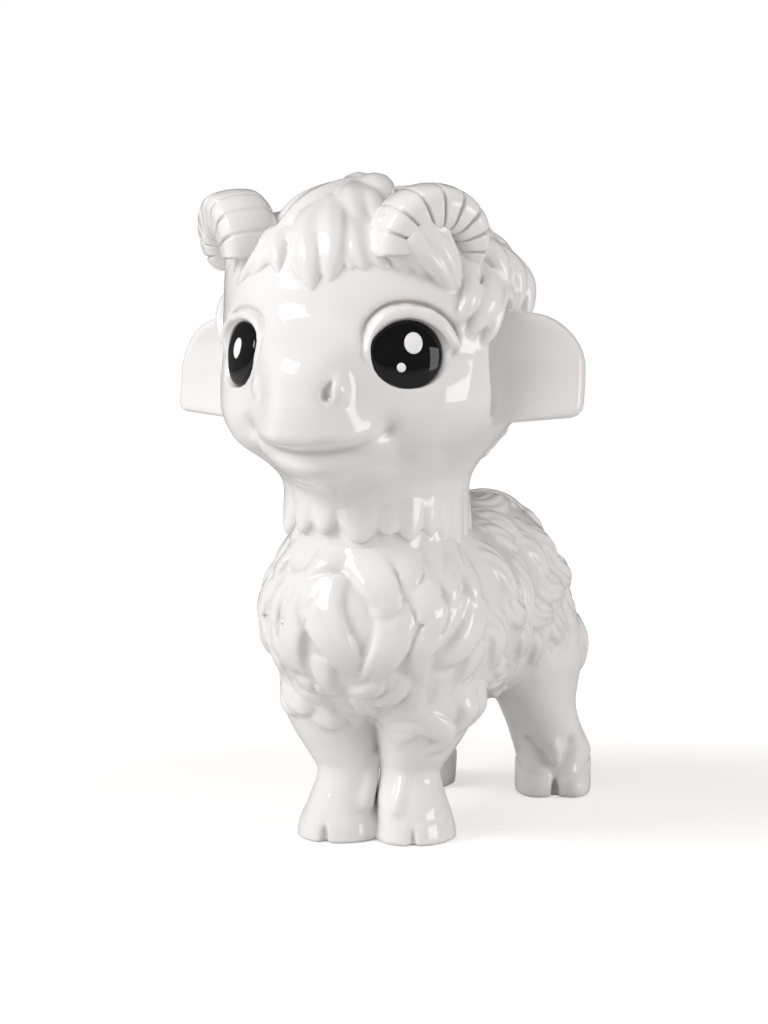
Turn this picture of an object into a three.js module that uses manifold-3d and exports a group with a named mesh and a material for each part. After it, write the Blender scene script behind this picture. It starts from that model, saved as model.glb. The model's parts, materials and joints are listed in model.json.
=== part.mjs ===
// A standing goat kid in white glazed porcelain, assembled from slip-cast pieces.
// Millimetres, +Z up. The goat faces -Y and its left side is +X.
// The origin lies on the floor, under the middle of the figure's bounding box.
import * as THREE from "three";
import { mergeVertices } from "three/addons/utils/BufferGeometryUtils.js";
import Module from "manifold-3d";

const wasm = await Module();
wasm.setup();

// Castings: the wall of the hollow shells, the slip gap between two pieces, the vent hole in the belly
const wall = 4.5;
const slipGap = 0.3;
const ventDiameter = 8;

// Torso under its wool: a broad chest and a narrower rump.
// Heights are above the floor, set-backs behind the front hooves.
const chestWidth = 59;
const chestLength = 69;
const chestHeight = 54;
const chestCentreHeight = 54;
const chestSetBack = 8;
const rumpWidth = 52;
const rumpLength = 46;
const rumpHeight = 50;
const rumpCentreHeight = 51;
const rumpSetBack = 57;
const torsoFillet = 26;

// Neck: a tube from the torso into the head. Its length is from the top of the chest to the jowls.
const neckDiameter = 39.5;
const neckLength = 25;
const neckSetBack = 0;

// Head: cranium with jowls, nose, lip and chin blended into it. The face looks a little to the goat's left.
const craniumWidth = 71;
const craniumLength = 71;
const craniumHeight = 62;
const craniumSetBack = -2;
const jowlWidth = 70;
const jowlLength = 64;
const jowlHeight = 40;
const jowlDrop = 17;
const jowlReach = 3;
const noseWidth = 26;
const noseLength = 34;
const noseHeight = 24;
const noseDrop = 13.5;
const noseReach = 28.5;
const lipWidth = 38;
const lipLength = 34;
const lipHeight = 13;
const lipDrop = 23.5;
const lipReach = 25;
const chinWidth = 25;
const chinLength = 22;
const chinHeight = 12;
const chinDrop = 30.5;
const chinReach = 24;
const headFillet = 8;
const faceTurn = 4;

// Eyes: black enamel domes set in shallow sockets under a raised lid, with white dots painted on them
const eyeWidth = 17;
const eyeHeight = 16.5;
const eyeThickness = 5;
const eyeTurn = 34;
const eyeDrop = 7;
const lidDiameter = 3;
const lidSweep = 190;
const highlightDiameter = 4.4;
const highlightOut = 1.2;
const highlightUp = 2.4;
const glintDiameter = 2.1;
const glintOut = -1.7;
const glintUp = -3;
const dotThickness = 2;

// Ears: cupped paddles that stand out sideways
const earSpan = 108;
const earRootHeight = 28;
const earTipHeight = 20;
const earThickness = 4.5;
const earUpperCorner = 8;
const earLowerCorner = 4;
const earCupLength = 28;
const earCupDepth = 2;
const earDrop = 8;
const earSag = 4;
const earSetBack = 1;
const earLean = 12;

// Horns: ribbed curls on the upper corners of the forehead
const hornSpread = 48;
const hornLift = 18;
const hornReach = 21;
const hornTurn = 45;
const hornCurlDiameter = 17;
const hornRootDiameter = 12.5;
const hornTipDiameter = 4.5;
const hornStartAngle = 215;
const hornSweep = 250;
const hornRise = 4;
const hornRibs = 13;
const hornRibDepth = 0.7;

// Forelock: tapered locks that fan out from the crown over the forehead
const forelockWidth = 13;
const forelockThickness = 7;
const forelockTaper = 0.92;
const forelockRootElevation = 78;
const forelockTips = [
  { turn: -36, elevation: 40 },
  { turn: -20, elevation: 24 },
  { turn: 0, elevation: 13 },
  { turn: 17, elevation: 22 },
  { turn: 34, elevation: 38 },
];

// Ruff: a flared band round the foot of the neck, with wool tufts that hang from it over the seam.
// Its lifts are above the top of the chest, or below it where they are negative.
const ruffTopLift = 6;
const ruffTopThickness = 1.5;
const ruffFootLift = -2;
const ruffFootDiameter = 44;
const ruffTufts = 12;
const tuftWidth = 13;
const tuftThickness = 4;
const tuftTaper = 0.9;
const tuftTipLift = -8;
const tuftTipDiameter = 46;

// Front legs, side by side under the chest, the right one a short stride ahead
const frontHoofSpread = 19;
const frontStride = 4;
const frontHoofWidth = 20;
const frontHoofLength = 22;
const frontPasternWidth = 17.5;
const frontPasternLength = 19.5;
const frontAnkleSpread = 15;
const frontAnkleDiameter = 15;
const frontAnkleHeight = 19;
const frontKneeSpread = 21;
const frontKneeDiameter = 24;
const frontKneeHeight = 34;

// Rear legs, set apart under the rump. Their set-backs are behind the middle of the rump.
const rearHoofSpread = 36;
const rearHoofSetBack = 11;
const rearHoofWidth = 20;
const rearHoofLength = 22.5;
const rearPasternWidth = 20.5;
const rearPasternLength = 21.5;
const rearAnkleSpread = 33.5;
const rearAnkleSetBack = 7;
const rearAnkleWidth = 19;
const rearAnkleLength = 21;
const rearAnkleHeight = 19;
const rearThighSpread = 31;
const rearThighSetBack = 5;
const rearThighWidth = 22;
const rearThighLength = 34;
const rearThighHeight = 36;
const rearHipWidth = 15;
const rearToeOut = 22;

// Cloven hooves on all four legs
const hoofHeight = 9;
const cleftWidth = 3;
const cleftDepth = 8;

// Wool: locks spread by the golden angle over a form, that fall back and down and end in a point.
// Their lifts are above the form, at the root, the middle and the tip.
const woolTaper = 0.93;
const woolFallBack = 0.9;
const woolLifts = [-1.6, -0.4, -0.2];
const woolClearance = 2;
const fleeceLocks = 130;
const fleeceLength = 17;
const fleeceWidth = 9.4;
const fleeceThickness = 5.2;
const fleeceLowestNormal = -0.75;
const fleeceChestTurn = 62;
const headWoolLocks = 90;
const headWoolLength = 15;
const headWoolWidth = 10;
const headWoolThickness = 5.6;
const headWoolSetBack = 4;
const headWoolDrop = 20;

// Broad locks on the chest, through turns from straight ahead and lifts above the middle of the chest.
// Those that start further round than the mirror turn have a twin on the other side.
const chestLockThickness = 0.58;
const chestLockMirrorTurn = 24;
const chestLocks = [
  { width: 11, path: [[10, 17], [20, 8], [21, 0.5]] },
  { width: 12, path: [[-3, 11], [1, -1], [11, -13]] },
  { width: 10.5, path: [[28, 5], [24, -6], [12, -13.5]] },
  { width: 10.5, path: [[32, 12], [41, 3], [34, -5]] },
  { width: 8.5, path: [[56, 7], [41, -4], [39, -15]] },
  { width: 9, path: [[68, 5], [58, -5], [43, -9]] },
  { width: 7, path: [[71, -5], [65, -11], [58, -15.5]] },
  { width: 9, path: [[-22, 11], [-26, 2], [-22, -6.5]] },
  { width: 10.5, path: [[-10, 11], [-16, -3], [-13, -14]] },
  { width: 7.5, path: [[5, 17], [-5, 13.5], [-14, 9.5]] },
  { width: 8, path: [[27, 18], [33, 12], [31, 6.5]] },
  { width: 7, path: [[61, 16], [65, 8], [65, 2]] },
  { width: 7.5, path: [[50, 14], [52, 8], [48, 2]] },
  { width: 7, path: [[25, -10.5], [17, -15], [3, -17]] },
  { width: 7, path: [[-4, -8], [-5, -13.5], [-1, -18]] },
];

// Tail: a short upturned lock on the back of the rump, its lift above the middle of the rump
const tailLength = 11;
const tailDiameter = 10;
const tailLift = 10;
const tailBendLift = 2.5;
const tailTipReach = 2.5;
const tailTaper = 0.85;

const porcelain = { color: 0xe6e4e1, roughness: 0.08, metalness: 0 };
const blackEnamel = { color: 0x0b0b0c, roughness: 0.06, metalness: 0 };
const whiteEnamel = { color: 0xf2f2f2, roughness: 0.1, metalness: 0 };

const searchReach = chestLength + rumpLength;
const searchSteps = 40;
const fineDetail = 7;
const hollowDetail = 4;
const roundSegments = 24;
const legSides = 14;
const ringsPerStation = 3;
const lockSides = 6;
const lockRings = 6;
const woolSides = 5;
const woolRings = 3;
const slopeStep = 0.2;
const hornSides = 10;
const dotSegments = 12;
const tailSides = 8;
const cornerSegments = 5;
const fullTurn = 360;
const left = 1;
const right = -1;
const sideways = new THREE.Vector3(1, 0, 0);
const backward = new THREE.Vector3(0, 1, 0);
const upward = new THREE.Vector3(0, 0, 1);

const point = (x, y, z) => new THREE.Vector3(x, y, z);
const radians = (degrees) => THREE.MathUtils.degToRad(degrees);

// The level direction at this angle from straight ahead, turned to the given side.
const ahead = (turn, side) => point(side * Math.sin(radians(turn)), -Math.cos(radians(turn)), 0);

// A closed mesh as a solid that can be joined and cut.
function solid(geometry) {
  const bare = geometry.clone();
  bare.deleteAttribute("normal");
  bare.deleteAttribute("uv");
  const merged = mergeVertices(bare);
  const vertProperties = merged.attributes.position.array;
  const triVerts = new Uint32Array(merged.index.array);
  return new wasm.Manifold(new wasm.Mesh({ numProp: 3, vertProperties, triVerts }));
}

const join = (solids) => solids.reduce((whole, piece) => whole.add(piece));

// Signed distance, near enough, from an ellipsoid of these full sizes.
function ellipsoid(centre, width, length, height) {
  const radii = point(width / 2, length / 2, height / 2);
  return (p) => {
    const scaled = p.clone().sub(centre).divide(radii);
    const reach = scaled.length();
    return (reach * (reach - 1)) / scaled.divide(radii).length();
  };
}

// Forms joined with a soft fillet between them.
function blend(fillet, ...forms) {
  const soften = (a, b) => {
    const share = Math.max(fillet - Math.abs(a - b), 0) / fillet;
    return Math.min(a, b) - (share * share * fillet) / 4;
  };
  return (p) => forms.map((form) => form(p)).reduce(soften);
}

// The point where a ray from a form's core leaves the form, grown by a margin.
function surfacePoint(form, core, direction, margin = 0) {
  let near = 1;
  let far = searchReach;
  for (let step = 0; step < searchSteps; step++) {
    const middle = (near + far) / 2;
    const inside = form(core.clone().addScaledVector(direction, middle)) < margin;
    if (inside) near = middle;
    else far = middle;
  }
  return core.clone().addScaledVector(direction, near);
}

// A rounded solid: an even ball pushed out to the form's surface, grown by a margin.
function roundedSolid(form, core, detail, margin = 0) {
  const ball = new THREE.IcosahedronGeometry(1, detail);
  const corners = ball.attributes.position;
  for (let i = 0; i < corners.count; i++) {
    const direction = new THREE.Vector3().fromBufferAttribute(corners, i).normalize();
    corners.setXYZ(i, ...surfacePoint(form, core, direction, margin));
  }
  return solid(ball);
}

// A closed tube along a curve. frame(p, tangent) gives its first cross direction,
// and size(t) its half sizes along that direction and square to it.
function sweep(curve, rings, sides, frame, size) {
  const corners = [];
  const faces = [];
  for (let ring = 0; ring <= rings; ring++) {
    const t = ring / rings;
    const centre = curve.getPoint(t);
    const [across, over] = frame(centre, curve.getTangent(t));
    const [halfAcross, halfOver] = size(t);
    for (let side = 0; side < sides; side++) {
      const angle = (2 * Math.PI * side) / sides;
      const corner = centre.clone().addScaledVector(across, halfAcross * Math.cos(angle));
      corners.push(...corner.addScaledVector(over, halfOver * Math.sin(angle)));
    }
  }
  const start = corners.length / 3;
  const end = start + 1;
  corners.push(...curve.getPoint(0), ...curve.getPoint(1));
  for (let side = 0; side < sides; side++) {
    const next = (side + 1) % sides;
    for (let ring = 0; ring < rings; ring++) {
      const low = ring * sides;
      const high = low + sides;
      faces.push(low + side, low + next, high + next, low + side, high + next, high + side);
    }
    const last = rings * sides;
    faces.push(start, next, side, end, last + side, last + next);
  }
  const tube = new THREE.BufferGeometry();
  tube.setAttribute("position", new THREE.Float32BufferAttribute(corners, 3));
  tube.setIndex(faces);
  return solid(tube);
}

// A cross frame whose first direction leans towards a given one.
const frameTowards = (direction) => (p, tangent) => {
  const over = tangent.clone().cross(direction(p)).normalize();
  return [over.clone().cross(tangent).normalize(), over];
};

// A ball squashed to these full sizes, its third size along the given direction.
function lens(centre, width, height, thickness, direction, segments = roundSegments) {
  const ball = new THREE.SphereGeometry(0.5, segments, segments / 2);
  ball.scale(width, height, thickness);
  ball.rotateX(Math.PI / 2);
  ball.rotateZ(Math.atan2(direction.x, -direction.y));
  ball.translate(...centre);
  return solid(ball);
}

// A solid turned about an upright axis, from radius and height pairs that start and end on the axis.
function turned(profile, setBack) {
  const lathe = new THREE.LatheGeometry(
    profile.map(([radius, height]) => new THREE.Vector2(radius, height)),
    roundSegments,
  );
  lathe.rotateX(Math.PI / 2);
  lathe.translate(0, setBack, 0);
  return solid(lathe);
}

// The main body of a piece, without the crumbs that wool cuts off it or the pockets that it closes over.
function mainBody(shape) {
  return shape.decompose().reduce((main, body) => (body.volume() > main.volume() ? body : main));
}

// The direction that leaves a form's surface at a point.
function outwardOf(form, p) {
  const slope = [sideways, backward, upward].map((axis) => {
    const past = form(p.clone().addScaledVector(axis, slopeStep));
    return past - form(p.clone().addScaledVector(axis, -slopeStep));
  });
  return point(...slope).normalize();
}

// A lock of wool through points on a form, lifted off it and tapered to its tip.
function woolLock(form, places, width, thickness) {
  const guide = places.map((p, i) => p.clone().addScaledVector(outwardOf(form, p), woolLifts[i]));
  const size = (t) => {
    const taper = Math.sqrt(1 - woolTaper * t * t);
    return [(thickness / 2) * taper, (width / 2) * taper];
  };
  const outward = (p) => outwardOf(form, p);
  return sweep(new THREE.CatmullRomCurve3(guide), woolRings, woolSides, frameTowards(outward), size);
}

// Three places down a form from a start, the way the wool falls.
function fallOf(form, start, length) {
  const places = [start];
  for (let step = 0; step < 2; step++) {
    const here = places.at(-1);
    const outward = outwardOf(form, here);
    const course = point(0, woolFallBack, -1);
    course.addScaledVector(outward, -course.dot(outward)).normalize();
    const next = here.clone().addScaledVector(course, length / 2);
    places.push(next.addScaledVector(outwardOf(form, next), -form(next)));
  }
  return places;
}

// Places on a form spread by the golden angle, the way directions spread over a ball of these half sizes.
function spreadPlaces(form, core, count, reach) {
  const goldenAngle = Math.PI * (3 - Math.sqrt(5));
  return Array.from({ length: count }, (_, i) => {
    const level = 1 - (2 * (i + 0.5)) / count;
    const ring = Math.sqrt(1 - level * level);
    const turn = (i + 0.5) * goldenAngle;
    const direction = point(ring * Math.cos(turn), level, ring * Math.sin(turn)).multiply(reach);
    return surfacePoint(form, core, direction.normalize());
  });
}

// Torso

const chestCentre = point(0, chestSetBack, chestCentreHeight);
const rumpCentre = point(0, rumpSetBack, rumpCentreHeight);
const torsoCore = chestCentre.clone().lerp(rumpCentre, 0.5);
const torsoForm = blend(
  torsoFillet,
  ellipsoid(chestCentre, chestWidth, chestLength, chestHeight),
  ellipsoid(rumpCentre, rumpWidth, rumpLength, rumpHeight),
);

// Neck, from inside the torso up into the head

const chestTop = chestCentreHeight + chestHeight / 2;
const jowlCentreHeight = chestTop + neckLength;
const craniumCentreHeight = jowlCentreHeight + jowlDrop;
const neckRod = (margin) =>
  turned(
    [
      [0, chestCentreHeight],
      [neckDiameter / 2 + margin, chestCentreHeight],
      [neckDiameter / 2 + margin, jowlCentreHeight],
      [0, jowlCentreHeight],
    ],
    neckSetBack,
  );
const neckSeat = neckRod(slipGap);
const neckBore = neckRod(-wall);

// The wool on the torso, grown by a margin: broad locks on the chest, smaller ones on the sides and back.
function torsoWool(margin) {
  const reach = point(chestWidth, rumpSetBack - chestSetBack + (chestLength + rumpLength) / 2, chestHeight);
  const starts = spreadPlaces(torsoForm, torsoCore, fleeceLocks, reach).filter((p) => {
    const offNeck = Math.hypot(p.x, p.y - neckSetBack);
    const underNeck = offNeck < neckDiameter / 2 + woolClearance && p.z > chestCentreHeight;
    const turn = Math.atan2(Math.abs(p.x), chestSetBack - p.y);
    const onChest = p.y < chestSetBack && turn < radians(fleeceChestTurn);
    return !underNeck && !onChest && outwardOf(torsoForm, p).z > fleeceLowestNormal;
  });
  const locks = starts.map((start) => {
    const places = fallOf(torsoForm, start, fleeceLength);
    return woolLock(torsoForm, places, fleeceWidth + 2 * margin, fleeceThickness + 2 * margin);
  });
  const onChest = (turn, lift) =>
    surfacePoint(torsoForm, chestCentre.clone().addScaledVector(upward, lift), ahead(turn, left));
  for (const { width, path } of chestLocks) {
    const sides = path[0][0] > chestLockMirrorTurn ? [left, right] : [left];
    for (const side of sides) {
      const places = path.map(([turn, lift]) => onChest(side * turn, lift));
      const thickness = chestLockThickness * width;
      locks.push(woolLock(torsoForm, places, width + 2 * margin, thickness + 2 * margin));
    }
  }
  return join(locks);
}

// The torso with its wool, grown by a margin.
function woollyTorso(margin) {
  return roundedSolid(torsoForm, torsoCore, fineDetail, margin).add(torsoWool(margin));
}
const torsoSeat = woollyTorso(slipGap);

function torsoShell() {
  const hollow = roundedSolid(torsoForm, torsoCore, hollowDetail, -wall);
  const vent = turned(
    [
      [0, 0],
      [ventDiameter / 2, 0],
      [ventDiameter / 2, torsoCore.z],
      [0, torsoCore.z],
    ],
    torsoCore.y,
  );
  return woollyTorso(0).subtract(hollow).subtract(neckBore).subtract(vent);
}

// Head

const headCore = point(0, craniumSetBack, craniumCentreHeight);
const inHead = (forward, down) => headCore.clone().add(point(0, -forward, -down));

// The same from where the face looks.
const facing = (turn, side) => ahead(faceTurn + side * turn, left);
const inFace = (reach, drop) => inHead(0, drop).addScaledVector(facing(0, left), reach);

const headForm = blend(
  headFillet,
  ellipsoid(headCore, craniumWidth, craniumLength, craniumHeight),
  ellipsoid(inFace(jowlReach, jowlDrop), jowlWidth, jowlLength, jowlHeight),
  ellipsoid(inFace(noseReach, noseDrop), noseWidth, noseLength, noseHeight),
  ellipsoid(inFace(lipReach, lipDrop), lipWidth, lipLength, lipHeight),
  ellipsoid(inFace(chinReach, chinDrop), chinWidth, chinLength, chinHeight),
);

// The wool on the back of the head, grown by a margin.
function headWool(margin) {
  const reach = point(1, 1, 1);
  const starts = spreadPlaces(headForm, headCore, headWoolLocks, reach).filter((p) => {
    const place = p.clone().sub(headCore);
    return place.y > headWoolSetBack && place.z > -headWoolDrop;
  });
  const locks = starts.map((start) => {
    const places = fallOf(headForm, start, headWoolLength);
    return woolLock(headForm, places, headWoolWidth + 2 * margin, headWoolThickness + 2 * margin);
  });
  return join(locks);
}

// The head with its wool, grown by a margin.
function woollyHead(margin) {
  return roundedSolid(headForm, headCore, fineDetail, margin).add(headWool(margin));
}
const headSeat = woollyHead(slipGap);

function eyeCentre(side) {
  return surfacePoint(headForm, inHead(0, eyeDrop), facing(eyeTurn, side));
}

const eyeDome = (side, margin) =>
  lens(
    eyeCentre(side),
    eyeWidth + 2 * margin,
    eyeHeight + 2 * margin,
    eyeThickness + 2 * margin,
    facing(eyeTurn, side),
  );

// The raised rim over an eye, an arc from its inner to its outer corner.
function eyeLid(side) {
  const outward = facing(eyeTurn, side);
  const along = upward.clone().cross(outward);
  const rim = new THREE.Curve();
  rim.getPoint = (t) => {
    const angle = radians(90 - lidSweep / 2 + t * lidSweep);
    return eyeCentre(side)
      .addScaledVector(along, ((eyeWidth + lidDiameter) / 2) * Math.cos(angle))
      .addScaledVector(upward, ((eyeHeight + lidDiameter) / 2) * Math.sin(angle));
  };
  const size = () => [lidDiameter / 2, lidDiameter / 2];
  return sweep(rim, 2 * lockRings, lockSides, frameTowards(() => outward), size);
}

function headShell() {
  const hollow = roundedSolid(headForm, headCore, hollowDetail, -wall);
  const lidded = join([woollyHead(0), neckRod(0), eyeLid(left), eyeLid(right)]);
  const sockets = eyeDome(left, slipGap).add(eyeDome(right, slipGap));
  const open = lidded.subtract(hollow).subtract(neckBore);
  return open.subtract(torsoSeat).subtract(sockets);
}

// A white dot on an eye, seated on the dome.
function eyeDot(side, diameter, out, up) {
  const outward = facing(eyeTurn, side);
  const along = upward.clone().cross(outward);
  const centre = eyeCentre(side).addScaledVector(along, side * out);
  const reach = 1 - (2 * out / eyeWidth) ** 2 - (2 * up / eyeHeight) ** 2;
  centre.addScaledVector(outward, (eyeThickness / 2) * Math.sqrt(reach));
  centre.addScaledVector(upward, up);
  const dot = lens(centre, diameter, diameter, dotThickness, outward, dotSegments);
  return dot.subtract(eyeDome(side, slipGap));
}

// An ear: a rounded paddle, cupped in front and cut to the side of the head.
function ear(side) {
  const tip = (side * earSpan) / 2;
  const low = -earTipHeight / 2 - earSag;
  const high = earTipHeight / 2 - earSag;
  const headSide = (side * craniumWidth) / 2;
  const outline = new THREE.Shape();
  outline.moveTo(0, -earRootHeight / 2);
  outline.lineTo(tip - side * earLowerCorner, low);
  outline.quadraticCurveTo(tip, low, tip, low + earLowerCorner);
  outline.lineTo(tip, high - earUpperCorner);
  outline.quadraticCurveTo(tip, high, tip - side * earUpperCorner, high);
  outline.lineTo(headSide, earRootHeight / 2);
  outline.lineTo(0, earRootHeight / 2);
  outline.closePath();
  const plate = new THREE.ExtrudeGeometry(outline, {
    depth: earThickness,
    bevelEnabled: false,
    curveSegments: cornerSegments,
  });
  plate.rotateX(Math.PI / 2);
  plate.translate(-headSide, earThickness / 2, 0);
  plate.rotateZ(radians(-side * earLean));
  const seat = inHead(-earSetBack, earDrop).add(point(headSide, 0, 0));
  plate.translate(...seat);
  const reach = (Math.abs(tip) - Math.abs(headSide)) / 2;
  const leaning = ahead(earLean, -side);
  const cupCentre = seat.clone().add(point(side * reach, 0, -earSag / 2));
  cupCentre.addScaledVector(leaning, earThickness / 2 + reach * Math.tan(radians(earLean)));
  const cup = lens(cupCentre, earCupLength, earTipHeight, 2 * earCupDepth, leaning);
  return solid(plate).subtract(cup).subtract(headSeat);
}

// A lock of wool on the head, from one direction seen from the head's core to another.
function headLock(from, to, width, thickness) {
  const guide = [0, 0.5, 1].map((t) => {
    const turn = THREE.MathUtils.lerp(from.turn, to.turn, t);
    const elevation = radians(THREE.MathUtils.lerp(from.elevation, to.elevation, t));
    const direction = ahead(turn, left).multiplyScalar(Math.cos(elevation));
    direction.addScaledVector(upward, Math.sin(elevation));
    return surfacePoint(headForm, headCore, direction);
  });
  const size = (t) => {
    const taper = Math.sqrt(1 - forelockTaper * t * t);
    return [(thickness / 2) * taper, (width / 2) * taper];
  };
  const outward = (p) => p.clone().sub(headCore);
  return sweep(new THREE.CatmullRomCurve3(guide), lockRings, lockSides, frameTowards(outward), size);
}

function forelock(margin) {
  const locks = forelockTips.map((tip) => {
    const root = { turn: tip.turn, elevation: forelockRootElevation };
    return headLock(root, tip, forelockWidth + 2 * margin, forelockThickness + 2 * margin);
  });
  return join(locks).subtract(headSeat);
}

// A horn: a ribbed tube that curls up, over and out, cut to the head and the forelock at its root.
function horn(side) {
  const hornFacing = ahead(hornTurn, side);
  const outAndBack = upward.clone().cross(hornFacing).multiplyScalar(side);
  const centre = inHead(hornReach, -hornLift).add(point((side * hornSpread) / 2, 0, 0));
  const curl = new THREE.Curve();
  curl.getPoint = (t) => {
    const angle = radians(hornStartAngle - t * hornSweep);
    return centre
      .clone()
      .addScaledVector(outAndBack, (hornCurlDiameter / 2) * Math.cos(angle))
      .addScaledVector(upward, (hornCurlDiameter / 2) * Math.sin(angle))
      .addScaledVector(hornFacing, hornRise * t);
  };
  const rings = 2 * hornRibs;
  const size = (t) => {
    const groove = Math.round(t * rings) % 2 ? hornRibDepth : 0;
    const half = THREE.MathUtils.lerp(hornRootDiameter, hornTipDiameter, t) / 2 - groove;
    return [half, half];
  };
  const tube = sweep(curl, rings, hornSides, frameTowards(() => hornFacing), size);
  return tube.subtract(headSeat).subtract(forelock(slipGap));
}

// The ruff: a band with tufts side by side round the foot of the neck, each pointed at its lower end.
function neckRuff() {
  const topRadius = neckDiameter / 2 + ruffTopThickness;
  const topHeight = chestTop + ruffTopLift;
  const footHeight = chestTop + ruffFootLift;
  const band = turned(
    [
      [0, footHeight],
      [ruffFootDiameter / 2, footHeight],
      [topRadius, topHeight],
      [0, topHeight],
    ],
    neckSetBack,
  );
  const tufts = [band];
  for (let i = 0; i < ruffTufts; i++) {
    const outward = ahead((fullTurn * i) / ruffTufts, left);
    const root = point(0, neckSetBack, topHeight).addScaledVector(outward, topRadius);
    const tip = point(0, neckSetBack, chestTop + tuftTipLift);
    tip.addScaledVector(outward, tuftTipDiameter / 2);
    const size = (t) => {
      const taper = Math.sqrt(1 - tuftTaper * t * t);
      return [(tuftThickness / 2) * taper, (tuftWidth / 2) * taper];
    };
    const fall = new THREE.LineCurve3(root, tip);
    tufts.push(sweep(fall, lockRings, lockSides, frameTowards(() => outward), size));
  }
  return join(tufts).subtract(neckSeat).subtract(torsoSeat).subtract(headSeat);
}

// A leg through stations from its sole to inside the torso, with the cleft of its hoof cut in.
function leg(stations, toeOut) {
  const centres = new THREE.CatmullRomCurve3(stations.map(({ at }) => at));
  const sizes = new THREE.CatmullRomCurve3(
    stations.map(({ width, length }) => point(width / 2, length / 2, 0)),
  );
  const size = (t) => sizes.getPoint(t).toArray();
  const rings = ringsPerStation * (stations.length - 1);
  const limb = sweep(centres, rings, legSides, () => [sideways, backward], size);
  const sole = stations[0];
  const cleft = new THREE.Shape();
  cleft.moveTo(-cleftWidth / 2, -sole.length);
  cleft.lineTo(cleftWidth / 2, -sole.length);
  cleft.lineTo(cleftWidth / 2, -sole.length / 2);
  cleft.lineTo(0, cleftDepth - sole.length / 2);
  cleft.lineTo(-cleftWidth / 2, -sole.length / 2);
  cleft.closePath();
  const notch = new THREE.ExtrudeGeometry(cleft, { depth: 2 * hoofHeight, bevelEnabled: false });
  notch.rotateZ(radians(toeOut));
  notch.translate(sole.at.x, sole.at.y, -hoofHeight);
  return limb.subtract(solid(notch)).subtract(torsoSeat);
}

function frontLeg(side) {
  const station = (spread, height, width, length) => ({
    at: point((side * spread) / 2, (side * frontStride) / 2, height),
    width,
    length,
  });
  const stations = [
    station(frontHoofSpread, 0, frontHoofWidth, frontHoofLength),
    station(frontHoofSpread, hoofHeight, frontPasternWidth, frontPasternLength),
    station(frontAnkleSpread, frontAnkleHeight, frontAnkleDiameter, frontAnkleDiameter),
    station(frontKneeSpread, frontKneeHeight, frontKneeDiameter, frontKneeDiameter),
    station(frontKneeSpread, chestCentreHeight, frontKneeDiameter, frontKneeDiameter),
  ];
  const whole = leg(stations, 0);
  const otherSide = new THREE.BoxGeometry(chestWidth, chestLength, 2 * chestCentreHeight);
  otherSide.translate((-side * (chestWidth - slipGap)) / 2, 0, chestCentreHeight / 2);
  return whole.subtract(solid(otherSide));
}

function rearLeg(side) {
  const station = (spread, setBack, height, width, length) => ({
    at: point((side * spread) / 2, rumpSetBack + setBack, height),
    width,
    length,
  });
  const stations = [
    station(rearHoofSpread, rearHoofSetBack, 0, rearHoofWidth, rearHoofLength),
    station(rearHoofSpread, rearHoofSetBack, hoofHeight, rearPasternWidth, rearPasternLength),
    station(rearAnkleSpread, rearAnkleSetBack, rearAnkleHeight, rearAnkleWidth, rearAnkleLength),
    station(rearThighSpread, rearThighSetBack, rearThighHeight, rearThighWidth, rearThighLength),
    station(rearThighSpread, rearThighSetBack, rumpCentreHeight, rearHipWidth, rearThighLength),
  ];
  return leg(stations, side * rearToeOut);
}

function tail() {
  const seat = rumpCentre.clone().addScaledVector(upward, tailLift);
  const rumpBack = surfacePoint(torsoForm, seat, backward);
  const root = rumpBack.clone().addScaledVector(backward, -tailDiameter);
  const bend = rumpBack.clone().addScaledVector(upward, tailBendLift);
  const tip = rumpBack.clone().add(point(0, tailTipReach, tailLength));
  const size = (t) => {
    const half = (tailDiameter / 2) * Math.sqrt(1 - tailTaper * t * t);
    return [half, half];
  };
  const curve = new THREE.CatmullRomCurve3([root, bend, tip]);
  const lock = sweep(curve, lockRings, tailSides, frameTowards(() => sideways), size);
  return lock.subtract(torsoSeat);
}

// A named mesh of a solid in one finish.
function piece(name, shape, finish) {
  const { numProp, vertProperties, triVerts } = mainBody(shape).getMesh();
  const geometry = new THREE.BufferGeometry();
  const corners = new THREE.InterleavedBuffer(vertProperties, numProp);
  geometry.setAttribute("position", new THREE.InterleavedBufferAttribute(corners, 3, 0));
  geometry.setIndex(new THREE.BufferAttribute(triVerts, 1));
  const mesh = new THREE.Mesh(geometry, new THREE.MeshStandardMaterial(finish));
  mesh.name = name;
  return mesh;
}

const figure = new THREE.Group();
figure.add(
  piece("torso_shell", torsoShell(), porcelain),
  piece("head_shell", headShell(), porcelain),
  piece("neck_ruff", neckRuff(), porcelain),
  piece("forelock", forelock(0), porcelain),
  piece("tail", tail(), porcelain),
);
for (const [name, side] of [["left", left], ["right", right]]) {
  figure.add(
    piece(`${name}_horn`, horn(side), porcelain),
    piece(`${name}_ear`, ear(side), porcelain),
    piece(`front_${name}_leg`, frontLeg(side), porcelain),
    piece(`rear_${name}_leg`, rearLeg(side), porcelain),
    piece(`${name}_eye`, eyeDome(side, 0), blackEnamel),
    piece(`${name}_eye_highlight`, eyeDot(side, highlightDiameter, highlightOut, highlightUp), whiteEnamel),
  );
}
figure.add(piece("left_eye_glint", eyeDot(left, glintDiameter, glintOut, glintUp), whiteEnamel));

const bounds = new THREE.Box3().setFromObject(figure);
figure.position.y = -bounds.getCenter(new THREE.Vector3()).y;

const goat = new THREE.Group();
goat.add(figure);

export default goat;
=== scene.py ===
"""The looks of a standing goat kid in white glazed porcelain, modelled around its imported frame.

Every porcelain piece is a signed distance field on one lattice: plain forms, wool strands grown by
Geometry Nodes along guide lines, and small carvings. The glaze then runs into the seams between the
pieces, and each piece is cast as a closed mesh. Lengths are millimetres until a mesh is cast.
The goat faces -Y and its left side is +X.
"""
import json
import math

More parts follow.
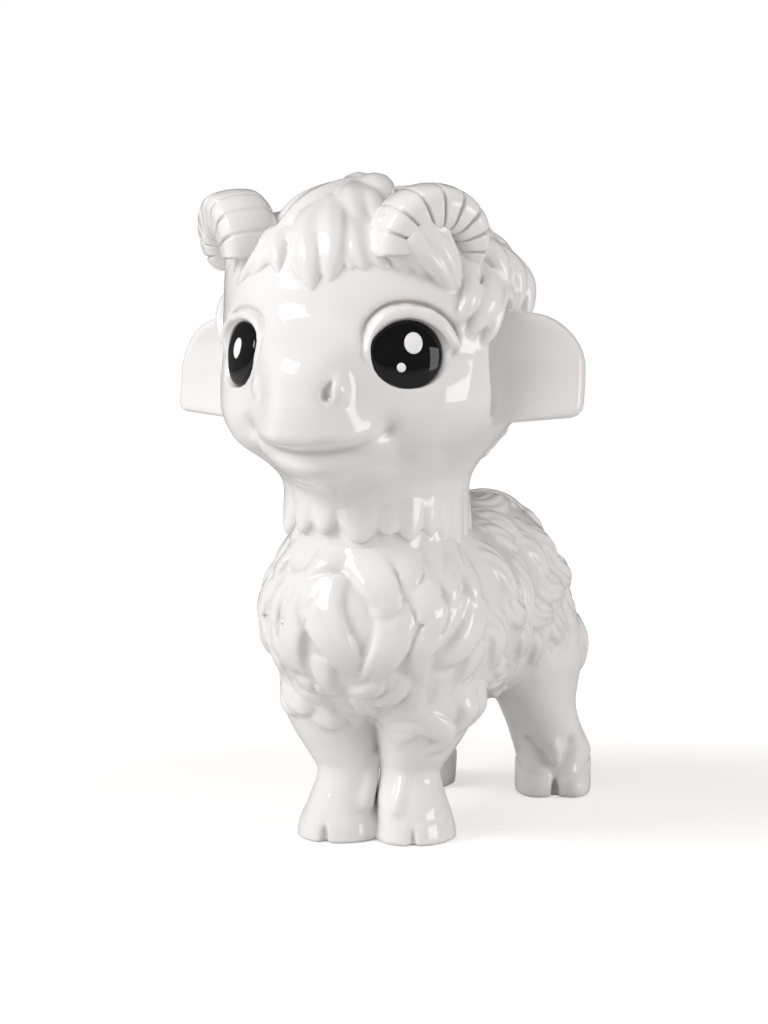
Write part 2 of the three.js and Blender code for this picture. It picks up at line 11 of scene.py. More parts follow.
import bpy
import numpy as np
import openvdb
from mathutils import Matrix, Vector


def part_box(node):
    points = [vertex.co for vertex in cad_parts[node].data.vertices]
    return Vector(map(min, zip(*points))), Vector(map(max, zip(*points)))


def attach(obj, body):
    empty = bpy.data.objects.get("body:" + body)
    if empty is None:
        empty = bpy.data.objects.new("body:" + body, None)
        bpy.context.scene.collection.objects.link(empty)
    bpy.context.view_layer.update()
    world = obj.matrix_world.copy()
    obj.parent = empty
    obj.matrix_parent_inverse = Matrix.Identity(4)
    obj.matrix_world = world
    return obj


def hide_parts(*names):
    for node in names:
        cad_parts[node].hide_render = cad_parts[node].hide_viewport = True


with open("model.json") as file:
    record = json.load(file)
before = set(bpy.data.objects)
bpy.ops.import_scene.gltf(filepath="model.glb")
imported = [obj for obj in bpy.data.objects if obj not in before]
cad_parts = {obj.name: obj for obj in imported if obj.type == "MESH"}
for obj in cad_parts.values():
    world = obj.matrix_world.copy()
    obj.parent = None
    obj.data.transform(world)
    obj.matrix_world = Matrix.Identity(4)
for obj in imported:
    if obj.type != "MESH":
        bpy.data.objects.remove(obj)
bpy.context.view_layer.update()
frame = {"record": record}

MM = 0.001
# The lattice's step, how many steps of a field are kept around a mesh, and the value far from a piece
GRAIN = 0.5
BAND = 8
FAR = 50.0
# Room that blocks leave below and above the frame's boxes
ROOM = {
    "torso": (7, 7),
    "head": (7, 7),
    "ear": ((14, 10, 6), (14, 14, 6)),
    "forelock": ((10, 8, 8), (10, 10, 8)),
    "ruff": (8, 10),
    "leg": ((6, 8, 3), (6, 8, 8)),
    "tail": ((8, 14, 8), 6),
    "horn": (9, 12),
}
WHOLE = (slice(None),) * 3
LEFT, RIGHT = 1, -1
SIDES = {LEFT: "left", RIGHT: "right"}
UP = np.array([0.0, 0.0, 1.0])
# The least divisor, the step that feels for a surface's slope, and how far and how finely rays look
LEAST, PROBE = 1e-6, 0.2
RAY_REACH, RAY_HALVINGS = 100.0, 30
rng = np.random.default_rng(11)


# Lattice blocks and fields

def corners(node):
    """Lowest and highest corner of a node of the frame, in millimetres."""
    low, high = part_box(node)
    return np.array(low) / MM, np.array(high) / MM


class Block:
    """A box of the lattice that holds the distance field of one piece, negative inside the piece."""

    def __init__(self, low, high):
        self.first = np.floor(np.asarray(low, float) / GRAIN).astype(int)
        last = np.ceil(np.asarray(high, float) / GRAIN).astype(int)
        self.shape = tuple(last - self.first + 1)
        self.field = np.full(self.shape, FAR, np.float32)

    def reach(self, low=None, high=None):
        """Slices of the block that hold a smaller box, or all of it."""
        if low is None:
            return WHOLE
        start = np.floor(np.asarray(low) / GRAIN).astype(int) - self.first
        stop = np.ceil(np.asarray(high) / GRAIN).astype(int) - self.first + 1
        bounds = zip(np.clip(start, 0, self.shape), np.clip(stop, 0, self.shape))
        return tuple(slice(int(a), int(b)) for a, b in bounds)

    def places(self, slices=WHOLE):
        """Open x, y and z grids of lattice places."""
        axes = [(np.arange(n) + f) * GRAIN for n, f in zip(self.shape, self.first)]
        parts = [axis[s].astype(np.float32) for axis, s in zip(axes, slices)]
        return np.ix_(*parts)

    def add(self, form, fillet=1.0, low=None, high=None):
        """Joins a form to the piece with a fillet, which does nothing in an empty block."""
        here = self.reach(low, high)
        self.field[here] = soft_min(self.field[here], form(self.places(here)), fillet)

    def carve(self, form, fillet, low=None, high=None):
        """Cuts a form out of the piece and rounds the edge of the cut."""
        here = self.reach(low, high)
        self.field[here] = -soft_min(-self.field[here], form(self.places(here)), fillet)

    def press(self, depth, low, high):
        """Presses the surface in by a depth that changes from place to place."""
        here = self.reach(low, high)
        self.field[here] += depth(self.places(here))


def block_for(kind, low, high):
    """A block with its kind's room around a box."""
    below, above = ROOM[kind]
    return Block(low - np.array(below), high + np.array(above))


def soft_min(a, b, fillet):
    """The lesser of two distances, with a round fillet where they meet."""
    share = np.maximum(fillet - np.abs(a - b), 0) / fillet
    return np.minimum(a, b) - share * share * fillet / 4


def soft_max(a, b, fillet):
    """The greater of two distances, with the edge where they meet rounded."""
    return -soft_min(-a, -b, fillet)


def unit(directions):
    return directions / np.linalg.norm(directions, axis=-1, keepdims=True)


def offsets(p, centre):
    return [p[i] - centre[i] for i in range(3)]


def reach_along(offset, direction):
    """How far offsets reach along a direction."""
    return sum(offset[i] * direction[i] for i in range(3))


def swell(value, middle, spread):
    """A soft hump: 1 at the middle, fading within a spread."""
    return np.exp(-(((value - middle) / spread) ** 2))


def ellipsoid(p, centre, size, basis=None):
    """Distance, near enough, from an ellipsoid of these full sizes, along the rows of a basis if given."""
    offset = offsets(p, centre)
    if basis is not None:
        offset = [reach_along(offset, row) for row in basis]
    near = np.sqrt(sum((offset[i] * (2 / size[i])) ** 2 for i in range(3)))
    slope = np.sqrt(sum((offset[i] * (4 / size[i] ** 2)) ** 2 for i in range(3)))
    return near * (near - 1) / np.maximum(slope, LEAST)


def tube(p, points, radii):
    """Distance from a tube through points whose radius changes along it."""
    best = None
    for a, b, ra, rb in zip(points[:-1], points[1:], radii[:-1], radii[1:]):
        run = b - a
        share = np.clip(reach_along(offsets(p, a), run) / max(float(run @ run), LEAST), 0, 1)
        off = np.sqrt(sum((p[i] - a[i] - share * run[i]) ** 2 for i in range(3)))
        here = off - (ra + (rb - ra) * share)
        best = here if best is None else np.minimum(best, here)
    return best


def outward(form, points):
    """Unit directions that leave a form's surface at points."""
    slope = np.empty_like(points)
    for axis in range(3):
        shift = PROBE * np.eye(3)[axis]
        slope[:, axis] = form((points + shift).T) - form((points - shift).T)
    return unit(slope)


def settle(form, points, lift=0.0, rounds=4):
    """Points moved straight onto a form's surface, or this far above it."""
    for _ in range(rounds):
        points = points + (lift - form(points.T))[:, None] * outward(form, points)
    return points


def shine_through(form, core, directions):
    """Where rays from a core leave a form."""
    near = np.zeros(len(directions))
    far = np.full(len(directions), RAY_REACH)
    for _ in range(RAY_HALVINGS):
        middle = (near + far) / 2
        inside = form((core + directions * middle[:, None]).T) < 0
        near = np.where(inside, middle, near)
        far = np.where(inside, far, middle)
    return core + directions * near[:, None]


def ease(low, high, value):
    """0 below the low value, 1 above the high one, smooth between."""
    share = np.clip((value - low) / (high - low), 0, 1)
    return share * share * (3 - 2 * share)


def through(stations, count):
    """Evenly counted places on a smooth curve through stations."""
    stations = np.asarray(stations, float)
    before = 2 * stations[0] - stations[1]
    after = 2 * stations[-1] - stations[-2]
    padded = np.concatenate([[before], stations, [after]])
    at = np.linspace(0, len(stations) - 1, count)
    first = np.minimum(at.astype(int), len(stations) - 2)
    t = (at - first)[:, None]
    a, b, c, d = (padded[first + k] for k in range(4))
    bend = (2 * a - 5 * b + 4 * c - d) * t**2 + (3 * b - a - 3 * c + d) * t**3
    return 0.5 * (2 * b + (c - a) * t + bend)


def heading(turn, elevation=0.0):
    """Direction at this many degrees from straight ahead to the goat's left, and above the level."""
    t, e = np.radians(turn), np.radians(elevation)
    return np.stack([np.sin(t) * np.cos(e), -np.cos(t) * np.cos(e), np.sin(e) + 0 * t], -1)


def even_directions(count, stretch):
    """Directions spread evenly by the golden angle over a ball stretched to these sizes."""
    k = np.arange(count) + 0.5
    level = 1 - 2 * k / count
    turn = k * math.pi * (3 - math.sqrt(5))
    ring = np.sqrt(1 - level**2)
    return unit(np.stack([ring * np.cos(turn), level, ring * np.sin(turn)], 1) * stretch)


# Forms of the body. The soles place them along the goat, and the ears set the height of the head

CHEST = np.array([59.0, 69.0, 54.0])
CHEST_BACK, CHEST_HEIGHT = 8.0, 54.0
RUMP = np.array([52.0, 46.0, 52.0])
RUMP_BACK, RUMP_HEIGHT = 52.0, 53.0
TORSO_FILLET = 26.0
CRANIUM = np.array([71.0, 71.0, 62.0])
SKULL_FORWARD, SKULL_LIFT = 2.0, 8.0
# Forms of the face with their places: how far ahead of the skull's middle, and how far below it
JOWL, JOWL_PLACE = np.array([70.0, 64.0, 40.0]), (3.0, 17.0)
NOSE, NOSE_PLACE = np.array([36.0, 34.0, 30.0]), (28.5, 15.0)
LIP, LIP_PLACE = np.array([44.0, 34.0, 16.0]), (25.0, 23.0)
CHIN, CHIN_PLACE = np.array([25.0, 22.0, 12.0]), (24.0, 30.5)
HEAD_FILLET, MUZZLE_FILLET = 9.0, 6.0
MUZZLE_SLANT, MUZZLE_REACH, MUZZLE_EDGE = 55.0, 31.2, 3.0
# The fillet between the muzzle and each cheek, and where it changes across the face
CHEEK_FILLET = {LEFT: 5.0, RIGHT: 8.0}
CHEEK_CHANGE = (-8.0, 4.0)
FACE_TURN = 4.0
NECK_RADIUS, NECK_FLARE = 19.5, 0.6
NECK_SINK, NECK_DROP = 12.0, 17.0
NECK_TOP_EDGE, NECK_FOOT_EDGE, NECK_FILLET = 4.0, 2.0, 13.0

soles = {mount["name"]: np.array(mount["pos_m"]) / MM for mount in frame["record"]["mounts"]}
hoof_line = (soles["front_left_sole"][1] + soles["front_right_sole"][1]) / 2
torso_low, torso_high = corners("torso_shell")
head_low, head_high = corners("head_shell")
ruff_low, ruff_high = corners("neck_ruff")
ear_low, ear_high = corners("left_ear")
rump_centre = np.array([0, hoof_line + RUMP_BACK, RUMP_HEIGHT])
chest_centre = np.array([0, hoof_line + CHEST_BACK, CHEST_HEIGHT])
torso_core = (chest_centre + rump_centre) / 2
torso_reach = np.array([CHEST[0], RUMP_BACK - CHEST_BACK + (CHEST[1] + RUMP[1]) / 2, CHEST[2]])
skull = np.array([0, hoof_line - SKULL_FORWARD, (ear_low[2] + ear_high[2]) / 2 + SKULL_LIFT])
neck_foot = np.array([0, hoof_line, ruff_low[2]])
neck_top = skull[2] - NECK_DROP


def in_face(reach, drop):
    """A place in the head, this far forward of the skull's middle and below it."""
    return skull + heading(FACE_TURN) * reach - UP * drop


def torso_skin(p):
    """The torso without wool: chest and rump run together."""
    chest = ellipsoid(p, chest_centre, CHEST)
    rump = ellipsoid(p, rump_centre, RUMP)
    return soft_min(chest, rump, TORSO_FILLET)


def head_skin(p):
    """The head without wool. Two slanted planes trim the sides of the muzzle to a wedge."""
    jowl = ellipsoid(p, in_face(*JOWL_PLACE), JOWL)
    form = soft_min(ellipsoid(p, skull, CRANIUM), jowl, HEAD_FILLET)
    nose = ellipsoid(p, in_face(*NOSE_PLACE), NOSE)
    muzzle = soft_min(nose, ellipsoid(p, in_face(*LIP_PLACE), LIP), MUZZLE_FILLET)
    for side in SIDES:
        slant = heading(FACE_TURN + side * MUZZLE_SLANT)
        plane = sum((p[i] - skull[i]) * slant[i] for i in range(2)) - MUZZLE_REACH
        muzzle = soft_max(muzzle, plane, MUZZLE_EDGE)
    leftward = ease(*CHEEK_CHANGE, p[0] - skull[0])
    join = CHEEK_FILLET[RIGHT] + (CHEEK_FILLET[LEFT] - CHEEK_FILLET[RIGHT]) * leftward
    chin = ellipsoid(p, in_face(*CHIN_PLACE), CHIN)
    return soft_min(soft_min(form, muzzle, join), chin, MUZZLE_FILLET)


def neck_skin(p):
    """The neck: a round stem from inside the head down into the torso."""
    share = np.clip((neck_top - p[2]) / (neck_top - neck_foot[2]), 0, 1)
    off = np.sqrt((p[0] - neck_foot[0]) ** 2 + (p[1] - neck_foot[1]) ** 2)
    side = off - NECK_RADIUS - NECK_FLARE * share**2
    stem = soft_max(side, p[2] - neck_top, NECK_TOP_EDGE)
    return soft_max(stem, neck_foot[2] - NECK_SINK - p[2], NECK_FOOT_EDGE)


def on_face(turn, drop):
    """The place on the face at this turn from where it looks, and this far below the skull's middle."""
    start = skull - UP * drop
    return shine_through(head_skin, start, heading(np.atleast_1d(FACE_TURN + turn)))[0]


# Wool: guide lines that lie on a form, and strands grown along them

LOCK_STEPS = 14
ALONG = np.linspace(0, 1, LOCK_STEPS + 1)
TIP_SHARPNESS, TIP_FULLNESS, LEAST_GIRTH = 2.4, 0.7, 0.06
STRAND_SIDES = 10
# Half a strand's share of its room, how far strands close up at the tip, and how the outer ones differ
STRAND_LAP = 0.62
STRAND_CLOSING = 0.85
OUTER_SINK, OUTER_THINNING = 0.25, 0.12
RISE_END = 0.6
CREASE_START, CREASE_RUN, CREASE_SWELL = 0.03, 0.95, 0.7
CREASE_TIP, CREASE_EDGE = 6.0, 0.5


def lay_locks(form, starts, flow, length, lean, swing, hook):
    """Centre lines of locks that leave their starts along a flow and sway from side to side of it."""
    here = settle(form, starts)
    lines, normals = [here], [outward(form, here)]
    for step in range(LOCK_STEPS):
        t = (step + 0.5) / LOCK_STEPS
        normal = normals[-1]
        down = unit(flow - np.sum(flow * normal, 1, keepdims=True) * normal)
        side = np.cross(normal, down)
        angle = np.radians(lean + swing * math.cos(2 * math.pi * t) + hook * t * t)[:, None]
        course = np.cos(angle) * down + np.sin(angle) * side
        here = settle(form, here + course * (length / LOCK_STEPS)[:, None], rounds=2)
        lines.append(here)
        normals.append(outward(form, here))
    return np.stack(lines, 1), np.stack(normals, 1)


def on_form(form, lines):
    """Lines on a form as locks: the lines and their outward directions."""
    return np.stack(lines), np.stack([outward(form, line) for line in lines])


def across(lines, normals):
    """Sideways directions along locks."""
    return unit(np.cross(normals, np.gradient(lines, axis=1)))


def joined(paths):
    return [np.concatenate(group) for group in zip(*paths)]


def taper(t):
    """A lock's share of its full width along it: full to past the middle, then a point."""
    return np.maximum((1 - t**TIP_SHARPNESS) ** TIP_FULLNESS, LEAST_GIRTH)


def strand_guides(lines, normals, width, thickness, strands, sink, rise):
    """Splits each lock into strands side by side. Gives each strand's line, directions and girth."""
    side = across(lines, normals)
    lift = (rise * ease(0, RISE_END, ALONG) - sink) * taper(ALONG)
    half = width / 2 if strands == 1 else width / strands * STRAND_LAP
    paths = []
    for place in np.linspace(-1, 1, strands) if strands > 1 else (0.0,):
        spread = place * (1 - STRAND_CLOSING * ALONG**2) * (1 - 1 / strands)
        shift = (width[:, None] / 2 * spread)[..., None] * side
        bulge = (thickness[:, None] * (lift - OUTER_SINK * abs(place)))[..., None] * normals
        girth = np.repeat(half[:, None], len(ALONG), 1) * (1 - OUTER_THINNING * abs(place))
        paths.append((lines + shift + bulge, normals, girth))
    flatness = float(np.mean(thickness / half))
    return joined(paths), flatness


def linked(name, data):
    """An object in the scene that holds a mesh, lamp or lens."""
    item = bpy.data.objects.new(name, data)
    bpy.context.scene.collection.objects.link(item)
    return item


def mark(mesh, name, values, kind="FLOAT", key="value"):
    """Stores a number, or a direction, at every point of a mesh."""
    layer = mesh.attributes.new(name, kind, "POINT")
    layer.data.foreach_set(key, values.astype(np.float32).ravel())


def guide_object(name, lines, normals, girth):
    """A mesh of poly lines that carries what the strand tree reads: along, outward and girth."""
    count, steps = lines.shape[:2]
    first = np.arange(count)[:, None] * steps + np.arange(steps - 1)
    edges = np.stack([first, first + 1], -1).reshape(-1, 2)
    mesh = bpy.data.meshes.new(name)
    mesh.from_pydata(lines.reshape(-1, 3).tolist(), edges.tolist(), [])
    mark(mesh, "along", np.tile(ALONG, count))
    mark(mesh, "outward", normals, "FLOAT_VECTOR", "vector")
    mark(mesh, "girth", girth)
    return linked(name, mesh)


def node_tree(name, sizes, counts):
    """An empty Geometry Nodes tree with named inputs: geometry, sizes, counts and a finish."""
    tree = bpy.data.node_groups.new(name, "GeometryNodeTree")
    inputs = [("Geometry", "NodeSocketGeometry")]
    inputs += [(label, "NodeSocketFloat") for label in sizes]
    inputs += [(label, "NodeSocketInt") for label in counts]
    inputs += [("Finish", "NodeSocketMaterial")]
    for label, kind in inputs:
        tree.interface.new_socket(label, in_out="INPUT", socket_type=kind)
    tree.interface.new_socket("Geometry", in_out="OUTPUT", socket_type="NodeSocketGeometry")
    return tree


def add_node(tree, kind, links=None, **settings):
    """A node with its settings, and its inputs linked to sockets or set to values."""
    node = tree.nodes.new(kind)
    for key, value in settings.items():
        setattr(node, key, value)
    for key, source in (links or {}).items():
        if isinstance(source, bpy.types.NodeSocket):
            tree.links.new(source, node.inputs[key])
        else:
            node.inputs[key].default_value = source
    return node


def wire(tree, kind, links=None, **settings):
    """The first output of a new node."""
    return add_node(tree, kind, links, **settings).outputs[0]


def maths(tree, operation, *values):
    return wire(tree, "ShaderNodeMath", dict(enumerate(values)), operation=operation)


def attribute(tree, name, kind="FLOAT"):
    """What a mesh or curve carries under a name."""
    return wire(tree, "GeometryNodeInputNamedAttribute", {"Name": name}, data_type=kind)


def close_tree(tree, geometry, finish):
    """Ends a tree with real geometry that has its finish."""
    real = wire(tree, "GeometryNodeRealizeInstances", {"Geometry": geometry})
    done = wire(tree, "GeometryNodeSetMaterial", {"Geometry": real, "Material": finish})
    add_node(tree, "NodeGroupOutput", {0: done})


def strand_tree():
    """Sweeps an oval section along guide lines, flat to the form they lie on and pointed at the tip."""
    tree = node_tree("wool_strands", ("Flatness", "Tip Sharpness", "Tip Fullness"), ("Sides",))
    given = add_node(tree, "NodeGroupInput").outputs
    curve = wire(tree, "GeometryNodeMeshToCurve", {"Mesh": given["Geometry"]})
    facing = attribute(tree, "outward", "FLOAT_VECTOR")
    turned = wire(tree, "GeometryNodeSetCurveNormal", {"Curve": curve, "Normal": facing}, mode="FREE")
    run = maths(tree, "POWER", attribute(tree, "along"), given["Tip Sharpness"])
    full = maths(tree, "POWER", maths(tree, "SUBTRACT", 1.0, run), given["Tip Fullness"])
    size = maths(tree, "MULTIPLY", maths(tree, "MAXIMUM", full, LEAST_GIRTH), attribute(tree, "girth"))
    disc = wire(tree, "GeometryNodeCurvePrimitiveCircle", {"Resolution": given["Sides"], "Radius": 1.0})
    oval = wire(tree, "ShaderNodeCombineXYZ", {"X": given["Flatness"], "Y": 1.0, "Z": 1.0})
    section = wire(tree, "GeometryNodeTransform", {"Geometry": disc, "Scale": oval})
    swept = wire(tree, "GeometryNodeCurveToMesh",
                 {"Curve": turned, "Profile Curve": section, "Scale": size, "Fill Caps": True})
    close_tree(tree, swept, given["Finish"])
    return tree


def grown(item, tree, values):
    """The plain mesh that a tree makes of an object. The object is removed."""
    modifier = item.modifiers.new(tree.name, "NODES")
    modifier.node_group = tree
    sockets = {s.name: s.identifier for s in tree.interface.items_tree if s.in_out == "INPUT"}
    for label, value in values.items():
        modifier[sockets[label]] = value
    bpy.context.view_layer.update()
    whole = item.evaluated_get(bpy.context.evaluated_depsgraph_get())
    mesh = bpy.data.meshes.new_from_object(whole)
    item.modifiers.remove(modifier)
    guide = item.data
    bpy.data.objects.remove(item)
    bpy.data.meshes.remove(guide)
    return mesh


def points_of(mesh):
    points = np.empty(len(mesh.vertices) * 3, np.float32)
    mesh.vertices.foreach_get("co", points)
    return points.reshape(-1, 3)


def move_points(mesh, points):
    mesh.vertices.foreach_set("co", points.astype(np.float32).ravel())
    mesh.update()


def field_of(block, mesh):
    """Distance field of closed meshes, near their surface, on a block of the lattice."""
    mesh.calc_loop_triangles()
    triangles = np.empty(len(mesh.loop_triangles) * 3, np.int32)
    mesh.loop_triangles.foreach_get("vertices", triangles)
    grid = openvdb.FloatGrid.createLevelSetFromPolygons(
        points_of(mesh),
        triangles=triangles.reshape(-1, 3).astype(np.uint32),
        transform=openvdb.createLinearTransform(voxelSize=GRAIN),
        halfWidth=float(BAND),
    )
    values = np.full(block.shape, BAND * GRAIN, np.float32)
    grid.copyToArray(values, ijk=tuple(int(i) for i in block.first))
    return values


WOOL_TREE = strand_tree()


def strand_field(block, name, guides, flatness, tip):
    """Distance field of strands grown along guides."""
    sizes = {"Flatness": flatness, "Tip Sharpness": tip, "Tip Fullness": TIP_FULLNESS}
    mesh = grown(guide_object(name, *guides), WOOL_TREE, {**sizes, "Sides": STRAND_SIDES})
    field = field_of(block, mesh)
    bpy.data.meshes.remove(mesh)
    return field


def grow_wool(block, name, locks, width, depth, fillet, strands, sink, rise,
              tip=TIP_SHARPNESS, crease=None):
    """Grows locks, as strands, on the piece in a block, and cuts creases beside them if asked.

    A lock's thickness is a share of its width and a plain part, which depth holds. Its root lies sunk
    in the form and it rises further on, both in shares of the thickness.
    """
    thickness = depth[0] * width + depth[1]
    guides, flatness = strand_guides(*locks, width, thickness, strands, sink, rise)
    block.field = soft_min(block.field, strand_field(block, name, guides, flatness, tip), fillet)
    if crease:
        crease_edges(block, f"{name}_creases", locks, width, **crease)


def crease_edges(block, name, locks, width, radius, lift=0.5, edges=(LEFT, RIGHT)):
    """Cuts a thin crease along the edges of locks, where one laps over the next."""
    lines, normals = locks
    half = (width[:, None] / 2 * taper(ALONG))[..., None]
    girth = radius * np.sin(np.pi * (CREASE_START + CREASE_RUN * ALONG)) ** CREASE_SWELL
    girth = np.repeat(girth[None], len(lines), 0)
    shift = half * across(lines, normals)
    paths = [(lines + edge * shift + lift * normals, normals, girth) for edge in edges]
    cut = strand_field(block, name, joined(paths), 1.0, CREASE_TIP)
    block.field = soft_max(block.field, -cut, CREASE_EDGE)


# Torso

FLEECE_LOCKS = 130
FLEECE_FLOW = np.array([0.0, 0.9, -1.0])
# A lock's plain size, how much more it is at the back, and by how much it varies
FLEECE_LENGTH, FLEECE_WIDTH = (20.0, 2.0, 3.0), (8.8, 1.2, 0.8)
FLEECE_LEAN, FLEECE_HOOK = 24.0, 40.0
FLEECE_SWING, FLEECE_BACK_SWING = 30.0, 12.0
FLEECE = dict(depth=(0.21, 0.0), fillet=0.5, strands=3, sink=0.7, rise=1.2,
              crease=dict(radius=0.35, edges=(LEFT,)))
# Where no fleece lock starts: near the neck, on the chest, under the belly and on the thighs
NECK_CLEARANCE, CHEST_TURN, BELLY_SLOPE = 2.0, 62.0, -0.75
THIGH_AHEAD, THIGH_BELOW, THIGH_ASIDE = 9.0, 1.0, 9.0
CHEST_WOOL = dict(depth=(0.2, 0.0), fillet=0.8, strands=1, sink=0.4, rise=0.85, tip=4.0,
                  crease=dict(radius=0.55, lift=0.8))
CHEST_WIDENING, CHEST_TWINS = 1.15, 24.0
CHEST_LOCKS = (
    # width, then turn from straight ahead and height of places along the lock
    (9.0, (10, 71), (18, 65), (23, 59.5), (21, 54.5)),
    (10.0, (-3, 65), (-2, 57), (5, 49), (11, 41)),
    (8.5, (28, 59), (26, 51), (20, 45), (12, 40.5)),
    (8.5, (32, 66), (40, 60), (40.5, 54), (34, 49)),
    (7.0, (56, 61), (44, 53), (37, 47), (39, 39)),
    (7.5, (68, 59), (62, 51.5), (53, 47), (43, 45)),
    (5.5, (71, 49), (65, 43), (58, 38.5)),
    (5.5, (67, 43), (62, 36.5), (64, 30)),
    (5.5, (-4, 46), (-5, 40.5), (-1, 36)),
    (5.5, (25, 43.5), (17, 39), (3, 37)),
    (7.5, (-22, 65), (-26, 56), (-22, 47.5)),
    (8.5, (-10, 65), (-15, 55), (-17, 46.5), (-13, 40)),
    (5.5, (29, 42), (26, 37), (13, 33.5)),
    (5.5, (41, 41), (38, 36), (31, 32.5)),
    (5.5, (49, 42), (51, 35), (57, 30)),
    (6.0, (5, 71), (-5, 67.5), (-14, 63.5)),
    (6.5, (27, 72), (33, 66), (31, 60.5)),
    (5.5, (52, 76), (58, 69), (58, 63)),
    (5.5, (61, 70), (65, 62), (65, 56)),
    (5.0, (42, 75), (46, 69), (47, 63)),
    (6.0, (50, 68), (52, 62), (48, 56)),
    (6.0, (-30, 72), (-34, 66), (-36, 59)),
    (6.5, (-28, 50), (-33, 44), (-30, 38)),
    (6.0, (-14, 44), (-19, 39), (-16, 34)),
    (5.0, (12, 38), (8, 34), (10, 30)),
)


def on_chest(turn, height):
    """Places on the chest at turns from straight ahead and at heights."""
    core = np.stack([0 * turn, 0 * turn + chest_centre[1], height], 1)
    return shine_through(torso_skin, core, heading(turn))


def chest_wool(block):
    """The broad locks on the chest. One that starts far enough to the left has a twin on the right."""
    lines, widths = [], []
    for width, *stations in CHEST_LOCKS:
        turn, height = through(stations, LOCK_STEPS + 1).T
        for side in SIDES if stations[0][0] > CHEST_TWINS else (LEFT,):
            lines.append(on_chest(side * turn, height))
            widths.append(CHEST_WIDENING * width)
    grow_wool(block, "chest_locks", on_form(torso_skin, lines), np.array(widths), **CHEST_WOOL)


def varied(share, plain, more, spread):
    """Sizes that grow with a share and vary by up to a spread."""
    return plain + more * share + rng.uniform(-spread, spread, len(share))


def either_way(count):
    return np.where(rng.random(count) < 0.5, RIGHT, LEFT)


def fleece_starts():
    """Where the locks on the back and sides start."""
    starts = shine_through(torso_skin, torso_core, even_directions(FLEECE_LOCKS, torso_reach))
    x, y, z = starts.T
    under_neck = (np.hypot(x, y - neck_foot[1]) < NECK_RADIUS + NECK_CLEARANCE) & (z > chest_centre[2])
    turn = np.degrees(np.arctan2(x, chest_centre[1] - y))
    on_front = (np.abs(turn) < CHEST_TURN) & (y < chest_centre[1])
    on_belly = outward(torso_skin, starts)[:, 2] <= BELLY_SLOPE
    on_thigh = (y > rump_centre[1] - THIGH_AHEAD) & (z < rump_centre[2] - THIGH_BELOW)
    on_thigh &= np.abs(x) > THIGH_ASIDE
    return starts[~(under_neck | on_front | on_belly | on_thigh)]


def torso():
    block = block_for("torso", torso_low, torso_high)
    block.add(torso_skin)
    starts = fleece_starts()
    count = len(starts)
    back = ease(torso_core[1], torso_high[1], starts[:, 1])
    length = varied(back, *FLEECE_LENGTH)
    width = varied(back, *FLEECE_WIDTH)
    lean = rng.uniform(-FLEECE_LEAN, FLEECE_LEAN, count)
    swing = (FLEECE_SWING + FLEECE_BACK_SWING * back) * either_way(count)
    hook = rng.uniform(-FLEECE_HOOK, FLEECE_HOOK, count)
    flow = np.repeat(FLEECE_FLOW[None], count, 0)
    locks = lay_locks(torso_skin, starts, flow, length, lean, swing, hook)
    grow_wool(block, "fleece", locks, width, **FLEECE)
    chest_wool(block)
    return block


# Head: face

EYE_TURN, EYE_DROP = 34.0, 7.3
EYE = np.array([17.0, 15.2, 5.0])
EYE_CROWN, EYE_SINK, EYE_DEPTH = 1.5, 0.3, 1.5
EYE_RINGS, EYE_SECTORS = 16, 64
DOT_LIFT, DOT_CROWN, DOT_DEPTH = 0.02, 0.3, 0.3
DOT_RINGS, DOT_SECTORS = 8, 32
# Millimetres across the face in a degree of turn
DEGREE_SPAN = 0.62
MOUTH_HEIGHT, MOUTH_RISE, MOUTH_TURN = 94.8, 4.3, 28.0
LIP_OVERHANG, LIP_SWELL, MOUTH_LINE, CORNER_DEPTH = 1.4, 0.3, 0.4, 1.6
# Below the mouth's line: where the overhang sets in and ends, and the middle and spread of lip and line
OVERHANG_START, OVERHANG_END = (-0.6, 1.3), (0.8, 5.5)
LIP_BAND, LINE_BAND = (-1.9, 1.8), (0.3, 0.9)
# Where lip and line fade out towards the corners, as shares of the mouth's turn
LIP_FADE, LINE_FADE = (0.45, 1.0), (0.9, 1.1)
MOUTH_FOOT, MOUTH_TOP, MOUTH_ROOM = (10.0, 42.0), (10.0, 8.0), np.array([40.0, 40.0, 0.0])
CHIN_SWELL, CHIN_DROP, CHIN_SPREAD = 1.2, 6.5, 5.0
CHEEK_SWELL, CHEEK_TURN, CHEEK_HEIGHT, CHEEK_SPREAD = 1.6, 44.0, 101.0, 7.0
# Turn, height and depth of the dents that make the fold beside the mouth
FOLDS = ((31, 104, 0.35), (32, 97, 0.6), (33, 93, 0.5))
CORNER_SPREAD, FOLD_SPREAD = 1.9, 3.0
# Turn of each nostril and its share of full size, then heights of the pit, its upper end and the wing
NOSTRILS = ((8.6, 1.0), (-16.0, 0.4))
PIT_HEIGHT, PIT_END, WING_HEIGHT = 106.9, 109.6, 108.2
PIT_END_ASIDE, WING_ASIDE, PIT_BELOW, PIT_ABOVE = 1.4, 3.2, 0.4, 0.8
WING_FILLET, PIT_EDGE, NOSTRIL_ROOM = 2.5, 0.7, 6.0
WING, PIT_RADII = np.array([2.6, 3.0, 4.4]), np.array([1.4, 1.2, 0.5])
LID_WIDTH = {LEFT: 3.0, RIGHT: 2.2}
LID_HEIGHT = {LEFT: 2.2, RIGHT: 1.0}
LID_LEAST, LID_FOLD = 0.4, 0.65
# Angles from the eye's outer corner where the lid sets in, where it grows narrow and where it ends
LID_START, LID_NARROWING, LID_END = (-12, 30), (105, 170), (180, 205)
LID_INNER_LOSS, LID_FADE, LID_EDGE = 0.8, 0.7, 0.3
FOLD_ABOVE, FOLD_WIDTH = 0.7, 0.6
